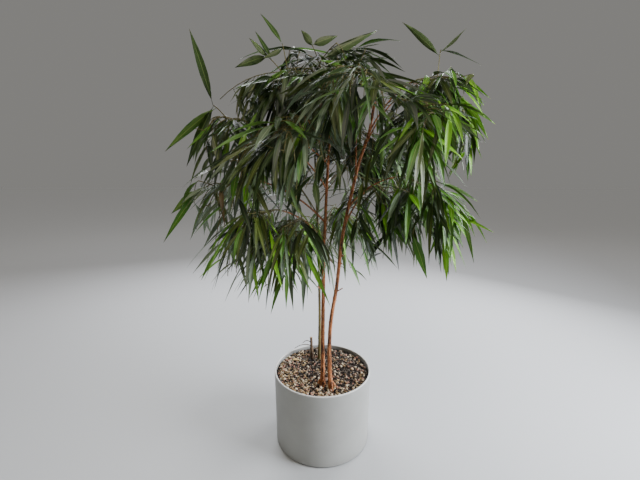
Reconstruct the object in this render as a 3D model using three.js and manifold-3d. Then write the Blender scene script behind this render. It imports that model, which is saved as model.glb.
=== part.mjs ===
// A long-leaf fig with three stems in a round planter, about 2 m high.
// Millimetres, +Z up, -Y towards the front, origin at the centre of the planter's flat underside.
import * as THREE from "three";
import { mergeVertices } from "three/addons/utils/BufferGeometryUtils.js";
import Module from "manifold-3d";

const wasm = await Module();
wasm.setup();

// Planter, soil and gravel
const potRadius = 250;
const potHeight = 392;
const potWall = 8;
const potFloor = 16;
const potDraft = 3;
const footRadius = 236;
const footHeight = 5;
const rimRound = 3;
const soilTop = 345;
const gravelTop = 372;
const roundSides = 32;

// Clearance between neighbouring solids, and the margin of each foliage mass's space
const gap = 0.3;
const spaceMargin = 2;

// Limbs
const stemSides = 7;
const stemStep = 110;
const boughSides = 5;
const boughStep = 70;
const boughShare = 0.6;
const boughTaper = 0.62;
const flareHeight = 34;
const toeHeight = 52;
const toeRadius = 6.5;
const toeTipRadius = 4;
const stubPitch = 35;
const plantedDepth = 12;

// Twigs and leaves
const goldenAngle = THREE.MathUtils.degToRad(137.508);
const twigRadius = 2.6;
const twigTipRadius = 1.9;
const twigSteps = 2;
const leafLength = 235;
const leafWidth = 36;
const leafThickness = 3;
const widestShare = 0.42;
const leafRootDepth = 1.2;
const steepestHang = 1.1;
const levelSpine = 0.9;
const heartShare = 0.6;
const heartDrop = 90;
const roomHeight = 1.2;
const leafClearance = 11;
const shootAttempts = 8;
const leafAttempts = 14;
const sprayRoll = 1.2;
const joinTolerance = 0.02;

const colours = {
  pot: 0xc6c9c7,
  soil: 0x3a2c20,
  gravel: 0xa89c8c,
  bark: 0x9a6a45,
  backBark: 0x6f6a45,
  deadWood: 0x8b7d69,
  leaf: 0x2f4420,
  youngLeaf: 0x4f7d1c,
};

// Each stem: its bends from the gravel to the tip, and its radius at foot and tip
const stemRows = [
  {
    name: "stem_left",
    bends: [[0, -118, gravelTop], [1, -115, 600], [5, -106, 1000], [14, -88, 1260], [27, -66, 1500],
      [38, -45, 1650], [26, -28, 1755], [2, -20, 1822]],
    foot: 10.5,
    tip: 4.2,
    flare: 7,
    toes: [[-34, -6], [-6, 36], [8, -34]],
  },
  {
    name: "stem_right",
    bends: [[40, -147, gravelTop], [33, -146, 490], [37, -141, 700], [66, -131, 900], [90, -121, 1125],
      [131, -106, 1330], [163, -92, 1458], [200, -80, 1570], [226, -74, 1722]],
    foot: 10,
    tip: 5.6,
    flare: 6,
    toes: [[34, 8], [10, -32]],
  },
  {
    name: "stem_back",
    bends: [[-16, 120, gravelTop], [-15, 126, 700], [-22, 142, 1050], [-34, 172, 1350], [-44, 222, 1630]],
    foot: 8,
    tip: 4,
    flare: 3,
    toes: [[14, 24]],
  },
];

// Pruned side shoots: the stem, the height, the direction, the length and the radius
const stubRows = [
  { stem: "stem_right", height: 1022, azimuth: 0, length: 19, radius: 4.5 },
  { stem: "stem_right", height: 985, azimuth: 20, length: 17, radius: 4 },
  { stem: "stem_right", height: 858, azimuth: -20, length: 40, radius: 2.6 },
  { stem: "stem_right", height: 806, azimuth: 35, length: 17, radius: 4 },
  { stem: "stem_left", height: 858, azimuth: 200, length: 36, radius: 3 },
];

// Each bough: the limb and height it leaves from, its direction, how far it goes out and up, and its bow
const boughRows = [
  ["top_left", "stem_left", 1640, 205, 80, 175, 20],
  ["far_left", "stem_left", 1440, 192, 300, 165, 50],
  ["left", "stem_left", 1330, 219, 240, 200, 45],
  ["left_low", "stem_left", 1180, 191, 310, 195, 60],
  ["low_left", "stem_left", 1090, 216, 220, 160, 45],
  ["low_front", "stem_left", 1060, 240, 165, 150, 25],
  ["front_left", "stem_left", 1430, 247, 210, 175, 35],
  ["front", "stem_left", 1570, 283, 170, 205, 25],
  ["right_top", "stem_right", 1575, 5, 190, 215, 60],
  ["right_outer", "bough_right_top", 1770, 8, 150, -25, 40],
  ["right_inner", "stem_right", 1480, 305, 165, 190, 35],
  ["right_low", "stem_right", 1250, 346, 205, 135, 50],
  ["right_mid", "stem_right", 1170, 30, 140, 170, 30],
  ["middle", "stem_right", 1390, 85, 170, 200, 30],
  ["back_left", "stem_back", 1180, 154, 260, 290, 40],
  ["back_right", "stem_back", 1230, 22, 320, 290, 60],
  ["back_low", "stem_back", 960, 65, 170, 220, 20],
].map(([name, from, at, azimuth, out, rise, bow]) => ({ name, from, at, azimuth, out, rise, bow }));

// The foliage on each limb's end: how many shoots with how many leaves, the shoots' reach, the share of
// upright leaves, how much the shoots hang, the spine's length and droop, and the room round the heart
const foliageRows = [
  ["crown_top", "stem_left", 7, 5, 190, 0.25, 0.35, 70, 0, 300],
  ["top_left", "bough_top_left", 7, 5, 105, 0, 0.6, 130, 0.4, 235],
  ["far_left", "bough_far_left", 6, 5, 85, 0.03, 0.6, 150, -0.15, 250],
  ["left", "bough_left", 7, 6, 110, 0, 0.6, 150, 0.3, 250],
  ["left_low", "bough_left_low", 7, 4, 100, 0, 0.6, 150, 0.3, 260],
  ["low_left", "bough_low_left", 7, 5, 105, 0, 0.7, 140, 0.15, 250],
  ["low_front", "bough_low_front", 7, 5, 95, 0, 0.9, 120, 0.1, 225],
  ["front_left", "bough_front_left", 7, 6, 130, 0, 0.7, 160, 0.35, 270],
  ["front", "bough_front", 8, 6, 140, 0, 0.6, 180, 0.35, 270],
  ["right_top", "bough_right_top", 7, 6, 105, 0.06, 0.55, 115, 0.05, 220],
  ["right_outer", "bough_right_outer", 7, 5, 90, 0, 1, 85, 0.7, 215],
  ["right_inner", "bough_right_inner", 7, 5, 130, 0, 0.7, 150, 0.35, 270],
  ["right_low", "bough_right_low", 7, 4, 120, 0, 0.75, 140, 0.45, 270],
  ["right_mid", "bough_right_mid", 5, 4, 110, 0, 0.75, 110, 0.4, 220],
  ["middle", "bough_middle", 5, 5, 130, 0, 0.6, 110, 0.1, 240],
  ["back_left", "bough_back_left", 7, 4, 160, 0.05, 0.6, 180, 0.2, 320],
  ["back", "stem_back", 7, 4, 190, 0.1, 0.5, 90, 0, 320],
  ["back_right", "bough_back_right", 7, 4, 150, 0.05, 0.6, 180, 0.2, 320],
  ["back_low", "bough_back_low", 6, 4, 150, 0, 0.75, 130, 0.3, 280],
].map(([name, on, shoots, leaves, reach, upright, hang, spine, droop, room]) => {
  return { name, on, shoots, leaves, reach, upright, hang, spine, droop, room };
});

// Sprays that stand out of the crown: the mass, the end of the spray's twig, and for each leaf
// its place along the twig and its tip
const sprayRows = [
  ["far_left", [-454, -150, 1680],
    [[1, -526, -165, 1963], [0.75, -650, -200, 1490], [0.95, -565, -200, 1430]]],
  ["top_left", [-168, -85, 1928], [[1, -261, -60, 2054], [0.9, -255, -90, 1871]]],
  ["top_left", [-232, -75, 1883],
    [[0.85, -285, -60, 1987], [0.95, -304, -100, 1948], [1, -372, -85, 1838]]],
  ["crown_top", [-5, -130, 1857], [[1, 215, -135, 1962]]],
  ["crown_top", [-46, -60, 1933], [[1, 63, -60, 1968], [0.9, -93, -50, 1994]]],
  ["right_top", [497, -60, 1914],
    [[0.8, 329, -60, 2021], [0.9, 595, -80, 1992], [1, 664, -100, 1842]]],
  ["right_outer", [623, -20, 1737], [[0.9, 741, -50, 1547], [1, 730, 0, 1480]]],
  ["left_low", [-536, -150, 1332], [[0.95, -658, -170, 1230], [1, -690, -200, 1108]]],
  ["low_front", [-72, -330, 1101], [[0.9, 30, -360, 880], [1, -81, -370, 860]]],
  ["right_low", [380, -220, 1150], [[1, 445, -250, 960]]],
].map(([mass, end, leaves]) => ({ mass, end, leaves }));

// What leaves keep out of, so that the crown is as open as it is. Lines of sight to the front stems:
// the stem, the lowest and highest point, and half the width. Gaps right through the crown: their place
// across and up at the front stems' depth, and half their width.
const sightRows = [
  ["stem_right", 930, 1690, 9],
  ["stem_left", 1130, 1480, 6],
].map(([name, low, high, half]) => ({ name, low, high, half }));
const gapDepth = -110;
const gapRows = [
  [-43, 1446, 24], [44, 1425, 24], [102, 1399, 18], [59, 1285, 22], [131, 1231, 20],
  [224, 1262, 18], [302, 1329, 14], [164, 1738, 15], [275, 1690, 22], [322, 1670, 14],
  [165, 1060, 32], [280, 990, 24], [-75, 1329, 14], [-234, 1634, 10],
].map(([x, z, half]) => ({ x, z, half }));

// The eye in front of the plant, the steps along its lines of sight and between those up a stem, and
// where the lines begin and end, measured from what is seen
const viewer = new THREE.Vector3(-13, -1718, 1447);
const sightStep = 40;
const stemSightStep = 50;
const nearSight = -420;
const stemSight = -60;
const farSight = 620;

const up = new THREE.Vector3(0, 0, 1);
const rad = THREE.MathUtils.degToRad;
const mix = THREE.MathUtils.lerp;

// A number between 0 and 1 that is always the same for the same key and kind.
function chance(key, kind) {
  const wave = Math.sin(key * 12.9898 + kind * 78.233) * 43758.5453;
  return wave - Math.floor(wave);
}

// The unit vector of a compass direction and a pitch above the horizon, both in radians.
function heading(azimuth, pitch) {
  return new THREE.Vector3(
    Math.cos(azimuth) * Math.cos(pitch),
    Math.sin(azimuth) * Math.cos(pitch),
    Math.sin(pitch),
  );
}

// A closed three.js geometry as a solid that can be joined and cut.
function toSolid(geometry) {
  const plain = geometry.clone();
  plain.deleteAttribute("normal");
  plain.deleteAttribute("uv");
  const merged = mergeVertices(plain, 1e-4);
  return new wasm.Manifold(
    new wasm.Mesh({
      numProp: 3,
      vertProperties: merged.attributes.position.array,
      triVerts: new Uint32Array(merged.index.array),
    }),
  );
}

function toGeometry(solid) {
  const mesh = solid.getMesh();
  const geometry = new THREE.BufferGeometry();
  geometry.setAttribute("position", new THREE.BufferAttribute(mesh.vertProperties, 3));
  geometry.setIndex(new THREE.BufferAttribute(mesh.triVerts, 1));
  geometry.computeVertexNormals();
  return geometry;
}

// All solids joined into one body: sealed hollows are filled and loose scraps are dropped.
function joinSolids(solids) {
  const joined = solids.reduce((sum, next) => sum.add(next));
  const bodies = joined.decompose();
  return bodies.reduce((best, next) => (next.volume() > best.volume() ? next : best));
}

// A round tapering limb: a capped cylinder whose axis is bent to follow the curve.
function bendCylinder(curve, radiusAt, sides, steps) {
  const geometry = new THREE.CylinderGeometry(1, 1, 1, sides, steps);
  const position = geometry.getAttribute("position");
  const frames = curve.computeFrenetFrames(steps);
  for (let i = 0; i < position.count; i++) {
    const along = position.getY(i) + 0.5;
    const ring = Math.round(along * steps);
    const radius = radiusAt(along);
    const point = curve.getPointAt(along);
    point.addScaledVector(frames.binormals[ring], position.getX(i) * radius);
    point.addScaledVector(frames.normals[ring], position.getZ(i) * radius);
    position.setXYZ(i, point.x, point.y, point.z);
  }
  return geometry;
}

// A point on the axis of a bent cylinder, which is straight from ring to ring.
function facetPoint(curve, along, steps) {
  const ring = Math.min(Math.floor(along * steps), steps - 1);
  const foot = curve.getPointAt(ring / steps);
  return foot.lerp(curve.getPointAt((ring + 1) / steps), along * steps - ring);
}

// The place on a limb's axis, from its foot, where it first reaches the height.
function shareAtHeight(curve, height) {
  const steps = 400;
  for (let i = 0; i <= steps; i++) {
    if (curve.getPointAt(i / steps).z >= height) return i / steps;
  }
  return 1;
}

// The limb's axis as points every few millimetres with the radius there, to keep leaves clear of it.
function axisSamples(limb) {
  const count = Math.ceil(limb.curve.getLength() / 10);
  return Array.from({ length: count + 1 }, (_, i) => ({
    point: limb.curve.getPointAt(i / count),
    radius: limb.radiusAt(i / count),
  }));
}

// Samples on the line of sight through a point, from nearer than it to further than it.
function sightLine(target, near, far, radius) {
  const away = target.clone().sub(viewer).normalize();
  return Array.from({ length: Math.floor((far - near) / sightStep) + 1 }, (_, i) => ({
    point: target.clone().addScaledVector(away, near + i * sightStep),
    radius,
  }));
}

const groundCut = toSolid(
  new THREE.BoxGeometry(400, 400, 200).translate(0, 0, gravelTop + gap - 100),
);

// A stem is planted a little below the gravel's top and then cut flat there, with its root toes.
function makeStem(row) {
  const bends = row.bends.map((bend) => new THREE.Vector3(...bend));
  const foot = bends[0].clone().setZ(gravelTop - plantedDepth);
  const curve = new THREE.CatmullRomCurve3([foot, ...bends.slice(1)], false, "centripetal");
  const length = curve.getLength();
  const flareAt = (along) => row.flare * Math.exp((-along * length) / flareHeight);
  const radiusAt = (along) => mix(row.foot, row.tip, along) + flareAt(along);
  const steps = Math.round(length / stemStep);
  const toes = row.toes.map(([x, y]) => {
    const toe = new THREE.QuadraticBezierCurve3(
      foot.clone().setZ(gravelTop + toeHeight),
      foot.clone().add(new THREE.Vector3(x * 0.55, y * 0.55, toeHeight * 0.55)),
      foot.clone().add(new THREE.Vector3(x, y, -plantedDepth / 2)),
    );
    return toSolid(bendCylinder(toe, (along) => mix(toeRadius, toeTipRadius, along), 5, 3));
  });
  const stubs = stubRows.filter((stub) => stub.stem === row.name).map((stub) => {
    const start = curve.getPointAt(shareAtHeight(curve, stub.height));
    const end = start.clone().addScaledVector(heading(rad(stub.azimuth), rad(stubPitch)), stub.length);
    return toSolid(bendCylinder(new THREE.LineCurve3(start, end), () => stub.radius, 5, 1));
  });
  const core = toSolid(bendCylinder(curve, radiusAt, stemSides, steps));
  const solid = joinSolids([core, ...toes, ...stubs]).subtract(groundCut);
  return { name: row.name, curve, radiusAt, sides: stemSides, steps, solid };
}

// A bough leaves its parent upwards, bows, and ends out and up by the row's sizes.
// Its foot is cut to sit round the parent with the clearance between neighbours.
function makeBough(row, limbs) {
  const parent = limbs.get(row.from);
  const share = shareAtHeight(parent.curve, row.at);
  const start = parent.curve.getPointAt(share);
  const away = heading(rad(row.azimuth), 0);
  const end = start.clone().addScaledVector(away, row.out).addScaledVector(up, row.rise);
  const middle = start.clone().addScaledVector(away, row.out * 0.45);
  middle.addScaledVector(up, row.rise * 0.5 + row.bow);
  const curve = new THREE.QuadraticBezierCurve3(start, middle, end);
  const thick = parent.radiusAt(share) * boughShare;
  const radiusAt = (along) => mix(thick, thick * boughTaper, along);
  const steps = Math.max(4, Math.round(curve.getLength() / boughStep));
  const clearRadiusAt = (along) => parent.radiusAt(along) + 2 * gap;
  const socket = toSolid(bendCylinder(parent.curve, clearRadiusAt, parent.sides, parent.steps));
  const core = toSolid(bendCylinder(curve, radiusAt, boughSides, steps));
  const solid = joinSolids([core.subtract(socket)]);
  const azimuth = rad(row.azimuth);
  return { name: "bough_" + row.name, azimuth, curve, radiusAt, sides: boughSides, steps, solid };
}

// A leaf: a long kite with a flat top and a keel, bent down at its widest place.
function leafGeometry(leaf) {
  const side = up.clone().cross(leaf.first).normalize().applyAxisAngle(leaf.first, leaf.roll);
  const below = side.clone().cross(leaf.first).normalize();
  const points = [
    leaf.root,
    leaf.middle.clone().addScaledVector(side, leaf.width / 2),
    leaf.middle.clone().addScaledVector(side, -leaf.width / 2),
    leaf.middle.clone().addScaledVector(below, leafThickness),
    leaf.tip,
  ];
  const geometry = new THREE.BufferGeometry().setFromPoints(points);
  geometry.setIndex([0, 2, 1, 0, 1, 3, 0, 3, 2, 4, 1, 2, 4, 3, 1, 4, 2, 3]);
  return geometry;
}

// The space of a foliage mass holds every point that is nearer to its heart than to any other heart
// and lies within the room round its heart, which is a little higher than wide.
function inSpace(point, heart, hearts, room) {
  const level = Math.hypot(point.x - heart.x, point.y - heart.y) / room;
  const high = (point.z - heart.z) / (room * roomHeight);
  if (level * level + high * high > 1) return false;
  const own = point.distanceToSquared(heart);
  return hearts.every(
    (other) =>
      other === heart ||
      (point.distanceToSquared(other) - own) / (2 * heart.distanceTo(other)) > spaceMargin,
  );
}

function clearOfLimbs(from, to, half, samples) {
  const line = new THREE.Line3(from, to);
  const nearest = new THREE.Vector3();
  return samples.every(
    (sample) =>
      line.closestPointToPoint(sample.point, true, nearest).distanceTo(sample.point) >
      sample.radius + half,
  );
}

// A leaf from its root by way of its bend to its tip, rolled at random and by what turns it to the front.
function makeLeaf(root, middle, tip, key, turnedFront) {
  const first = middle.clone().sub(root).normalize();
  return {
    root: root.clone().addScaledVector(first, -leafRootDepth),
    middle,
    tip,
    first,
    roll: (chance(key, 6) - 0.5) * 1.3 + turnedFront,
    width: leafWidth * mix(0.8, 1.1, chance(key, 7)),
  };
}

// A leaf on a shoot points to one side and the other in turn near the shoot's foot, and along it at
// the tip. Its two halves pitch down, the more the shoot hangs, unless it is one of the upright ones.
function planLeaf(row, shoot, key, along, count, spread) {
  const root = facetPoint(shoot.curve, along, twigSteps);
  const swing = mix(1.3, 0.1, along) * (count % 2 ? 1 : -1);
  const turn = shoot.azimuth + swing + (chance(key, 1) - 0.5) * spread;
  const flattest = 20 - 36 * Math.min(shoot.hang, steepestHang);
  const upright = chance(key, 2) < row.upright;
  const firstPitch = upright ? mix(0, 32, chance(key, 3)) : mix(flattest, flattest - 52, chance(key, 3));
  const lastPitch = Math.max(firstPitch - mix(6, 40, chance(key, 4)), -mix(62, 86, chance(key, 15)));
  const length = leafLength * mix(0.62, 1.12, chance(key, 5));
  const middle = root.clone().addScaledVector(heading(turn, rad(firstPitch)), length * widestShare);
  const tip = middle.clone().addScaledVector(heading(turn, rad(lastPitch)), length * (1 - widestShare));
  return makeLeaf(root, middle, tip, key, 0);
}

// A spray's leaf goes straight to its tip but for a slight rise at its bend, and the steeper it is,
// the more its upper side faces the front.
function planSprayLeaf(curve, key, along, tip) {
  const root = facetPoint(curve, along, twigSteps);
  const way = tip.clone().sub(root);
  const middle = root.clone().addScaledVector(way, widestShare);
  middle.addScaledVector(up, way.length() * 0.07);
  const turnedFront = Math.sign(way.x) * (Math.abs(way.z) / way.length()) * sprayRoll;
  return makeLeaf(root, middle, tip, key, turnedFront);
}

// A shoot's direction: round a stem by the golden angle, on a bough to one side and the other in turn,
// and more along it towards its end. A shoot that doesn't fit is tried again a little further round.
function shootAzimuth(mass, seed, i, share, key, attempt) {
  if (mass.azimuth === undefined) return i * goldenAngle + seed + attempt * 0.8;
  const swing = (mix(1.35, 0.15, share) + attempt * 0.15) * (i % 2 ? 1 : -1);
  return mass.azimuth + swing + (chance(key, 10) - 0.5) * (0.5 + 0.3 * attempt);
}

// Foliage grows from the end of its limb: a spine, shoots along it, leaves along each shoot, and the
// sprays that stand out. What would leave the mass's space or touch a limb is skipped.
function makeFoliage(row, seed, mass, hearts, samples) {
  const solids = [toSolid(bendCylinder(mass.spine, (along) => mix(mass.radius, 3, along), 4, twigSteps))];
  const within = (points, room) => points.every((point) => inSpace(point, mass.heart, hearts, room));
  const twigRadiusAt = (along) => mix(twigRadius, twigTipRadius, along);
  const taken = [];
  let leafCount = 0;
  const twigFits = ({ v0, v1, v2 }, room) => {
    return within([v1, v2], room) && clearOfLimbs(v0, v1, 4, samples) && clearOfLimbs(v1, v2, 4, samples);
  };
  const addTwig = (curve) => {
    solids.push(toSolid(bendCylinder(curve, twigRadiusAt, 3, twigSteps)));
    taken.push(...axisSamples({ curve, radiusAt: twigRadiusAt }));
  };
  const leafFits = (leaf, room) => {
    const half = leaf.width / 2;
    return (
      within([leaf.middle, leaf.tip], room) &&
      clearOfLimbs(leaf.root, leaf.middle, half, samples) &&
      clearOfLimbs(leaf.middle, leaf.tip, half, samples)
    );
  };
  const leafIsFree = (leaf) => {
    const neck = leaf.root.clone().lerp(leaf.middle, 0.3);
    return (
      clearOfLimbs(neck, leaf.middle, leafClearance, taken) &&
      clearOfLimbs(leaf.middle, leaf.tip, leafClearance, taken)
    );
  };
  const addLeaf = (leaf) => {
    solids.push(toSolid(leafGeometry(leaf)));
    taken.push({ point: leaf.root.clone().lerp(leaf.middle, 0.5), radius: 2 });
    for (const share of [0, 0.25, 0.5, 0.75, 1]) {
      const point = leaf.middle.clone().lerp(leaf.tip, share);
      taken.push({ point, radius: leafClearance * (1 - share) });
    }
    leafCount += 1;
  };

  const shoots = [];
  for (let i = 0; i < row.shoots; i++) {
    const share = (i + 1) / row.shoots;
    const origin = facetPoint(mass.spine, mix(0.1, 0.98, share), twigSteps);
    for (let attempt = 0; attempt < shootAttempts; attempt++) {
      const key = seed * 101 + i * 13 + attempt * 0.31;
      const azimuth = shootAzimuth(mass, seed, i, share, key, attempt);
      const pitch = rad(mix(-12, 26, share) + mix(-8, 8, chance(key, 8)) + row.upright * 24);
      const reach = row.reach * mix(0.75, 1.15, chance(key, 9)) * mix(1, 0.55, attempt / shootAttempts);
      const hang = row.hang * mix(0.1, 2.2, chance(key, 14));
      const away = heading(azimuth, pitch);
      const knee = origin.clone().addScaledVector(away, reach * 0.5);
      const end = origin.clone().addScaledVector(away, reach).addScaledVector(up, -hang * reach);
      const curve = new THREE.QuadraticBezierCurve3(origin, knee, end);
      if (!twigFits(curve, row.room)) continue;
      shoots.push({ key, azimuth, hang, curve });
      addTwig(curve);
      break;
    }
  }
  for (const shoot of shoots) {
    for (let j = 0; j < row.leaves; j++) {
      const along = mix(0.22, 0.985, j / (row.leaves - 1));
      for (let attempt = 0; attempt < leafAttempts; attempt++) {
        const leaf = planLeaf(row, shoot, shoot.key + j + attempt * 0.117, along, j, 1 + attempt * 0.35);
        if (!leafFits(leaf, row.room) || !leafIsFree(leaf)) continue;
        addLeaf(leaf);
        break;
      }
    }
  }
  for (const spray of sprayRows.filter((each) => each.mass === row.name)) {
    const origin = facetPoint(mass.spine, 0.98, twigSteps);
    const end = new THREE.Vector3(...spray.end);
    const knee = origin.clone().lerp(end, 0.5).addScaledVector(up, origin.distanceTo(end) * 0.12);
    const curve = new THREE.QuadraticBezierCurve3(origin, knee, end);
    if (!twigFits(curve, Infinity)) continue;
    addTwig(curve);
    spray.leaves.forEach(([along, ...tip], k) => {
      const leaf = planSprayLeaf(curve, seed * 11 + k, along, new THREE.Vector3(...tip));
      if (leafFits(leaf, Infinity)) addLeaf(leaf);
    });
  }
  return { solid: joinSolids(solids).simplify(joinTolerance), leafCount };
}

// A closed turned solid from radius and height pairs, from the axis at the bottom to the axis at the top.
function turned(profile) {
  const points = profile.map(([radius, height]) => new THREE.Vector2(radius, height));
  return new THREE.LatheGeometry(points, roundSides).rotateX(Math.PI / 2);
}

function makePot() {
  const inner = potRadius - potWall;
  return turned([
    [0, 0],
    [footRadius, 0],
    [footRadius, footHeight],
    [potRadius - potDraft - 4, footHeight],
    [potRadius - potDraft, footHeight + 4],
    [potRadius, potHeight - rimRound],
    [potRadius - rimRound, potHeight],
    [inner + rimRound, potHeight],
    [inner, potHeight - rimRound],
    [inner - potDraft, potFloor],
    [0, potFloor],
  ]);
}

function fillRadius(height) {
  const inner = potRadius - potWall;
  return inner - potDraft * (1 - (height - potFloor) / (potHeight - rimRound - potFloor)) - gap;
}

function makeFill(bottom, top) {
  return turned([[0, bottom], [fillRadius(bottom), bottom], [fillRadius(top), top], [0, top]]);
}

// A dead stump beside the back stem, with thin dry side twigs that hang to the left.
function makeDeadStub() {
  const foot = new THREE.Vector3(-56, 122, gravelTop - 10);
  const top = new THREE.Vector3(-62, 118, gravelTop + 130);
  const stump = new THREE.LineCurve3(foot, top);
  const pieces = [toSolid(bendCylinder(stump, (along) => mix(8.5, 6.5, along), 6, 2))];
  [[-70, -30, 60], [-95, 5, 88], [-50, 34, 105]].forEach(([x, y, height]) => {
    const start = stump.getPointAt(height / 140);
    const twig = new THREE.QuadraticBezierCurve3(
      start,
      start.clone().add(new THREE.Vector3(x * 0.5, y * 0.5, 22)),
      start.clone().add(new THREE.Vector3(x, y, -18)),
    );
    pieces.push(toSolid(bendCylinder(twig, (along) => mix(2.4, 1.4, along), 3, 2)));
  });
  return joinSolids(pieces).subtract(groundCut);
}

function makeMesh(name, geometry, colour, roughness) {
  const material = new THREE.MeshStandardMaterial({ color: colour, roughness, metalness: 0 });
  const mesh = new THREE.Mesh(geometry, material);
  mesh.name = name;
  return mesh;
}

const planter = new THREE.Group();
planter.add(makeMesh("pot", makePot(), colours.pot, 0.55));
planter.add(makeMesh("potting_soil", makeFill(potFloor + gap, soilTop), colours.soil, 0.95));
planter.add(makeMesh("gravel_layer", makeFill(soilTop + gap, gravelTop), colours.gravel, 0.9));

const wood = new THREE.Group();
const limbs = new Map();
for (const row of stemRows) limbs.set(row.name, makeStem(row));
for (const row of boughRows) limbs.set("bough_" + row.name, makeBough(row, limbs));
for (const limb of limbs.values()) {
  const colour = limb.name === "stem_back" ? colours.backBark : colours.bark;
  wood.add(makeMesh(limb.name, toGeometry(limb.solid), colour, 0.8));
}
wood.add(makeMesh("dead_stub", toGeometry(makeDeadStub()), colours.deadWood, 0.9));

const foliage = new THREE.Group();
const samples = [...limbs.values()].flatMap(axisSamples);
for (const { name, low, high, half } of sightRows) {
  const { curve } = limbs.get(name);
  for (let height = low; height < high; height += stemSightStep) {
    const target = curve.getPointAt(shareAtHeight(curve, height));
    samples.push(...sightLine(target, nearSight, stemSight, half));
  }
}
for (const { x, z, half } of gapRows) {
  samples.push(...sightLine(new THREE.Vector3(x, gapDepth, z), nearSight, farSight, half));
}
const masses = foliageRows.map((row) => {
  const { azimuth, curve, radiusAt } = limbs.get(row.on);
  const tangent = curve.getTangentAt(1);
  const start = curve.getPointAt(1).addScaledVector(tangent, gap);
  const middle = start.clone().addScaledVector(tangent, row.spine * 0.5);
  const ahead = azimuth === undefined ? tangent : heading(azimuth, 0).multiplyScalar(levelSpine);
  const end = start.clone().addScaledVector(ahead, row.spine).addScaledVector(up, -row.droop * row.spine);
  const spine = new THREE.QuadraticBezierCurve3(start, middle, end);
  const heart = spine.getPoint(heartShare).addScaledVector(up, -heartDrop);
  return { azimuth, spine, heart, radius: radiusAt(1) };
});
const hearts = masses.map((mass) => mass.heart);
foliageRows.forEach((row, i) => {
  const others = masses.filter((mass) => mass !== masses[i]);
  const otherSpines = others.flatMap(({ spine, radius }) => {
    return axisSamples({ curve: spine, radiusAt: () => radius });
  });
  const grown = makeFoliage(row, i + 1, masses[i], hearts, [...samples, ...otherSpines]);
  const colour = row.name.startsWith("right") ? colours.youngLeaf : colours.leaf;
  const mesh = makeMesh("leaves_" + row.name, toGeometry(grown.solid), colour, 0.45);
  mesh.userData.leafCount = grown.leafCount;
  foliage.add(mesh);
});

const plant = new THREE.Group();
plant.add(planter, wood, foliage);

export default plant;
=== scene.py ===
import math
import bpy
import numpy as np
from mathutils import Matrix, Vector


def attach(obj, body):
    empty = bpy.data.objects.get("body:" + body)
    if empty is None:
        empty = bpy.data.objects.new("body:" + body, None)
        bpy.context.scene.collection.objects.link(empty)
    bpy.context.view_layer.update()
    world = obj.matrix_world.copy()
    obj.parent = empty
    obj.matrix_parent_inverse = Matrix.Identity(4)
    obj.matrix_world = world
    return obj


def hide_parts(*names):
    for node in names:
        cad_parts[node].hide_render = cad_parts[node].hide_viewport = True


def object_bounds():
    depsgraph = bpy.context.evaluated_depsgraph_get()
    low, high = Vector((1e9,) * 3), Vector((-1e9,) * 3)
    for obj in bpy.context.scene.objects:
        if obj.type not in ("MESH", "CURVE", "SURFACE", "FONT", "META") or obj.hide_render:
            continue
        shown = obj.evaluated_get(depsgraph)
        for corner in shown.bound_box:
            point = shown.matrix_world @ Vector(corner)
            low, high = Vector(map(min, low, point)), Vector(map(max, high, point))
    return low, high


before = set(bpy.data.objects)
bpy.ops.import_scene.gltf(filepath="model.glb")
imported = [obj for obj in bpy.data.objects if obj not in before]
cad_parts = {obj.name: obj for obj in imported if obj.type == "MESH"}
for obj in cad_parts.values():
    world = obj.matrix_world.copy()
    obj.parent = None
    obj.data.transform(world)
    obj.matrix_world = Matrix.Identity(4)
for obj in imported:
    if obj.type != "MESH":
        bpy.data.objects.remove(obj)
cadLow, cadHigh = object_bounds()
print("frame loaded")

mm = 0.001
zAxis = np.array([0.0, 0.0, 1.0])
limbPoints, twigPoints = 401, 201  # even points along a limb, and along a twig or a spine
smooth, colourMix = {"interpolation_type": "SMOOTHSTEP"}, {"data_type": "RGBA"}  # settings of nodes


# The value at a share of the way from a to b.
def mix(a, b, share):
    return a + (b - a) * share


# The same number between 0 and 1 for the same key and kind: the fraction of a steep sine.
def chance(key, kind):
    wave = math.sin(key * 12.9898 + kind * 78.233) * 43758.5453
    return wave - math.floor(wave)


# The unit vector of a compass direction and a pitch above the horizon, in radians.
def heading(azimuth, pitch):
    flat = math.cos(pitch)
    return np.array([math.cos(azimuth) * flat, math.sin(azimuth) * flat, math.sin(pitch)])


# Each vector divided by its own length.
def unit(vectors):
    return vectors / np.linalg.norm(vectors, axis=-1, keepdims=True)


# Each of three channels of a hex colour from its sRGB curve to linear light.
def linear(hexColour):
    channels = [int(hexColour[i:i + 2], 16) / 255 for i in (1, 3, 5)]
    lit = [c / 12.92 if c <= 0.04045 else ((c + 0.055) / 1.055) ** 2.4 for c in channels]
    return (*lit, 1.0)


# A node with its settings, and each input either a value or a link from another node's output.
def addNode(tree, kind, settings=None, inputs=None):
    node = tree.nodes.new(kind)
    for name, value in (settings or {}).items():
        if name == "stops":
            ramp = node.color_ramp.elements
            while len(ramp) < len(value):
                ramp.new(1.0)
            for stop, (place, colour) in zip(ramp, value):
                stop.position = place
                stop.color = linear(colour)
        else:
            setattr(node, name, value)
    for name, value in (inputs or {}).items():
        if isinstance(value, bpy.types.NodeSocket):
            tree.links.new(value, node.inputs[name])
        else:
            node.inputs[name].default_value = value
    return node


# A material and the numbers that are the same all over it, with its tree, its shader and the object
# coordinates that its patterns read.
def startMaterial(name, sockets):
    material = bpy.data.materials.new(name)
    material.use_nodes = True
    tree = material.node_tree
    shader = tree.nodes["Principled BSDF"]
    for socket, value in sockets.items():
        shader.inputs[socket].default_value = value
    place = addNode(tree, "ShaderNodeTexCoord").outputs["Object"]
    return material, tree, shader, place


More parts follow.
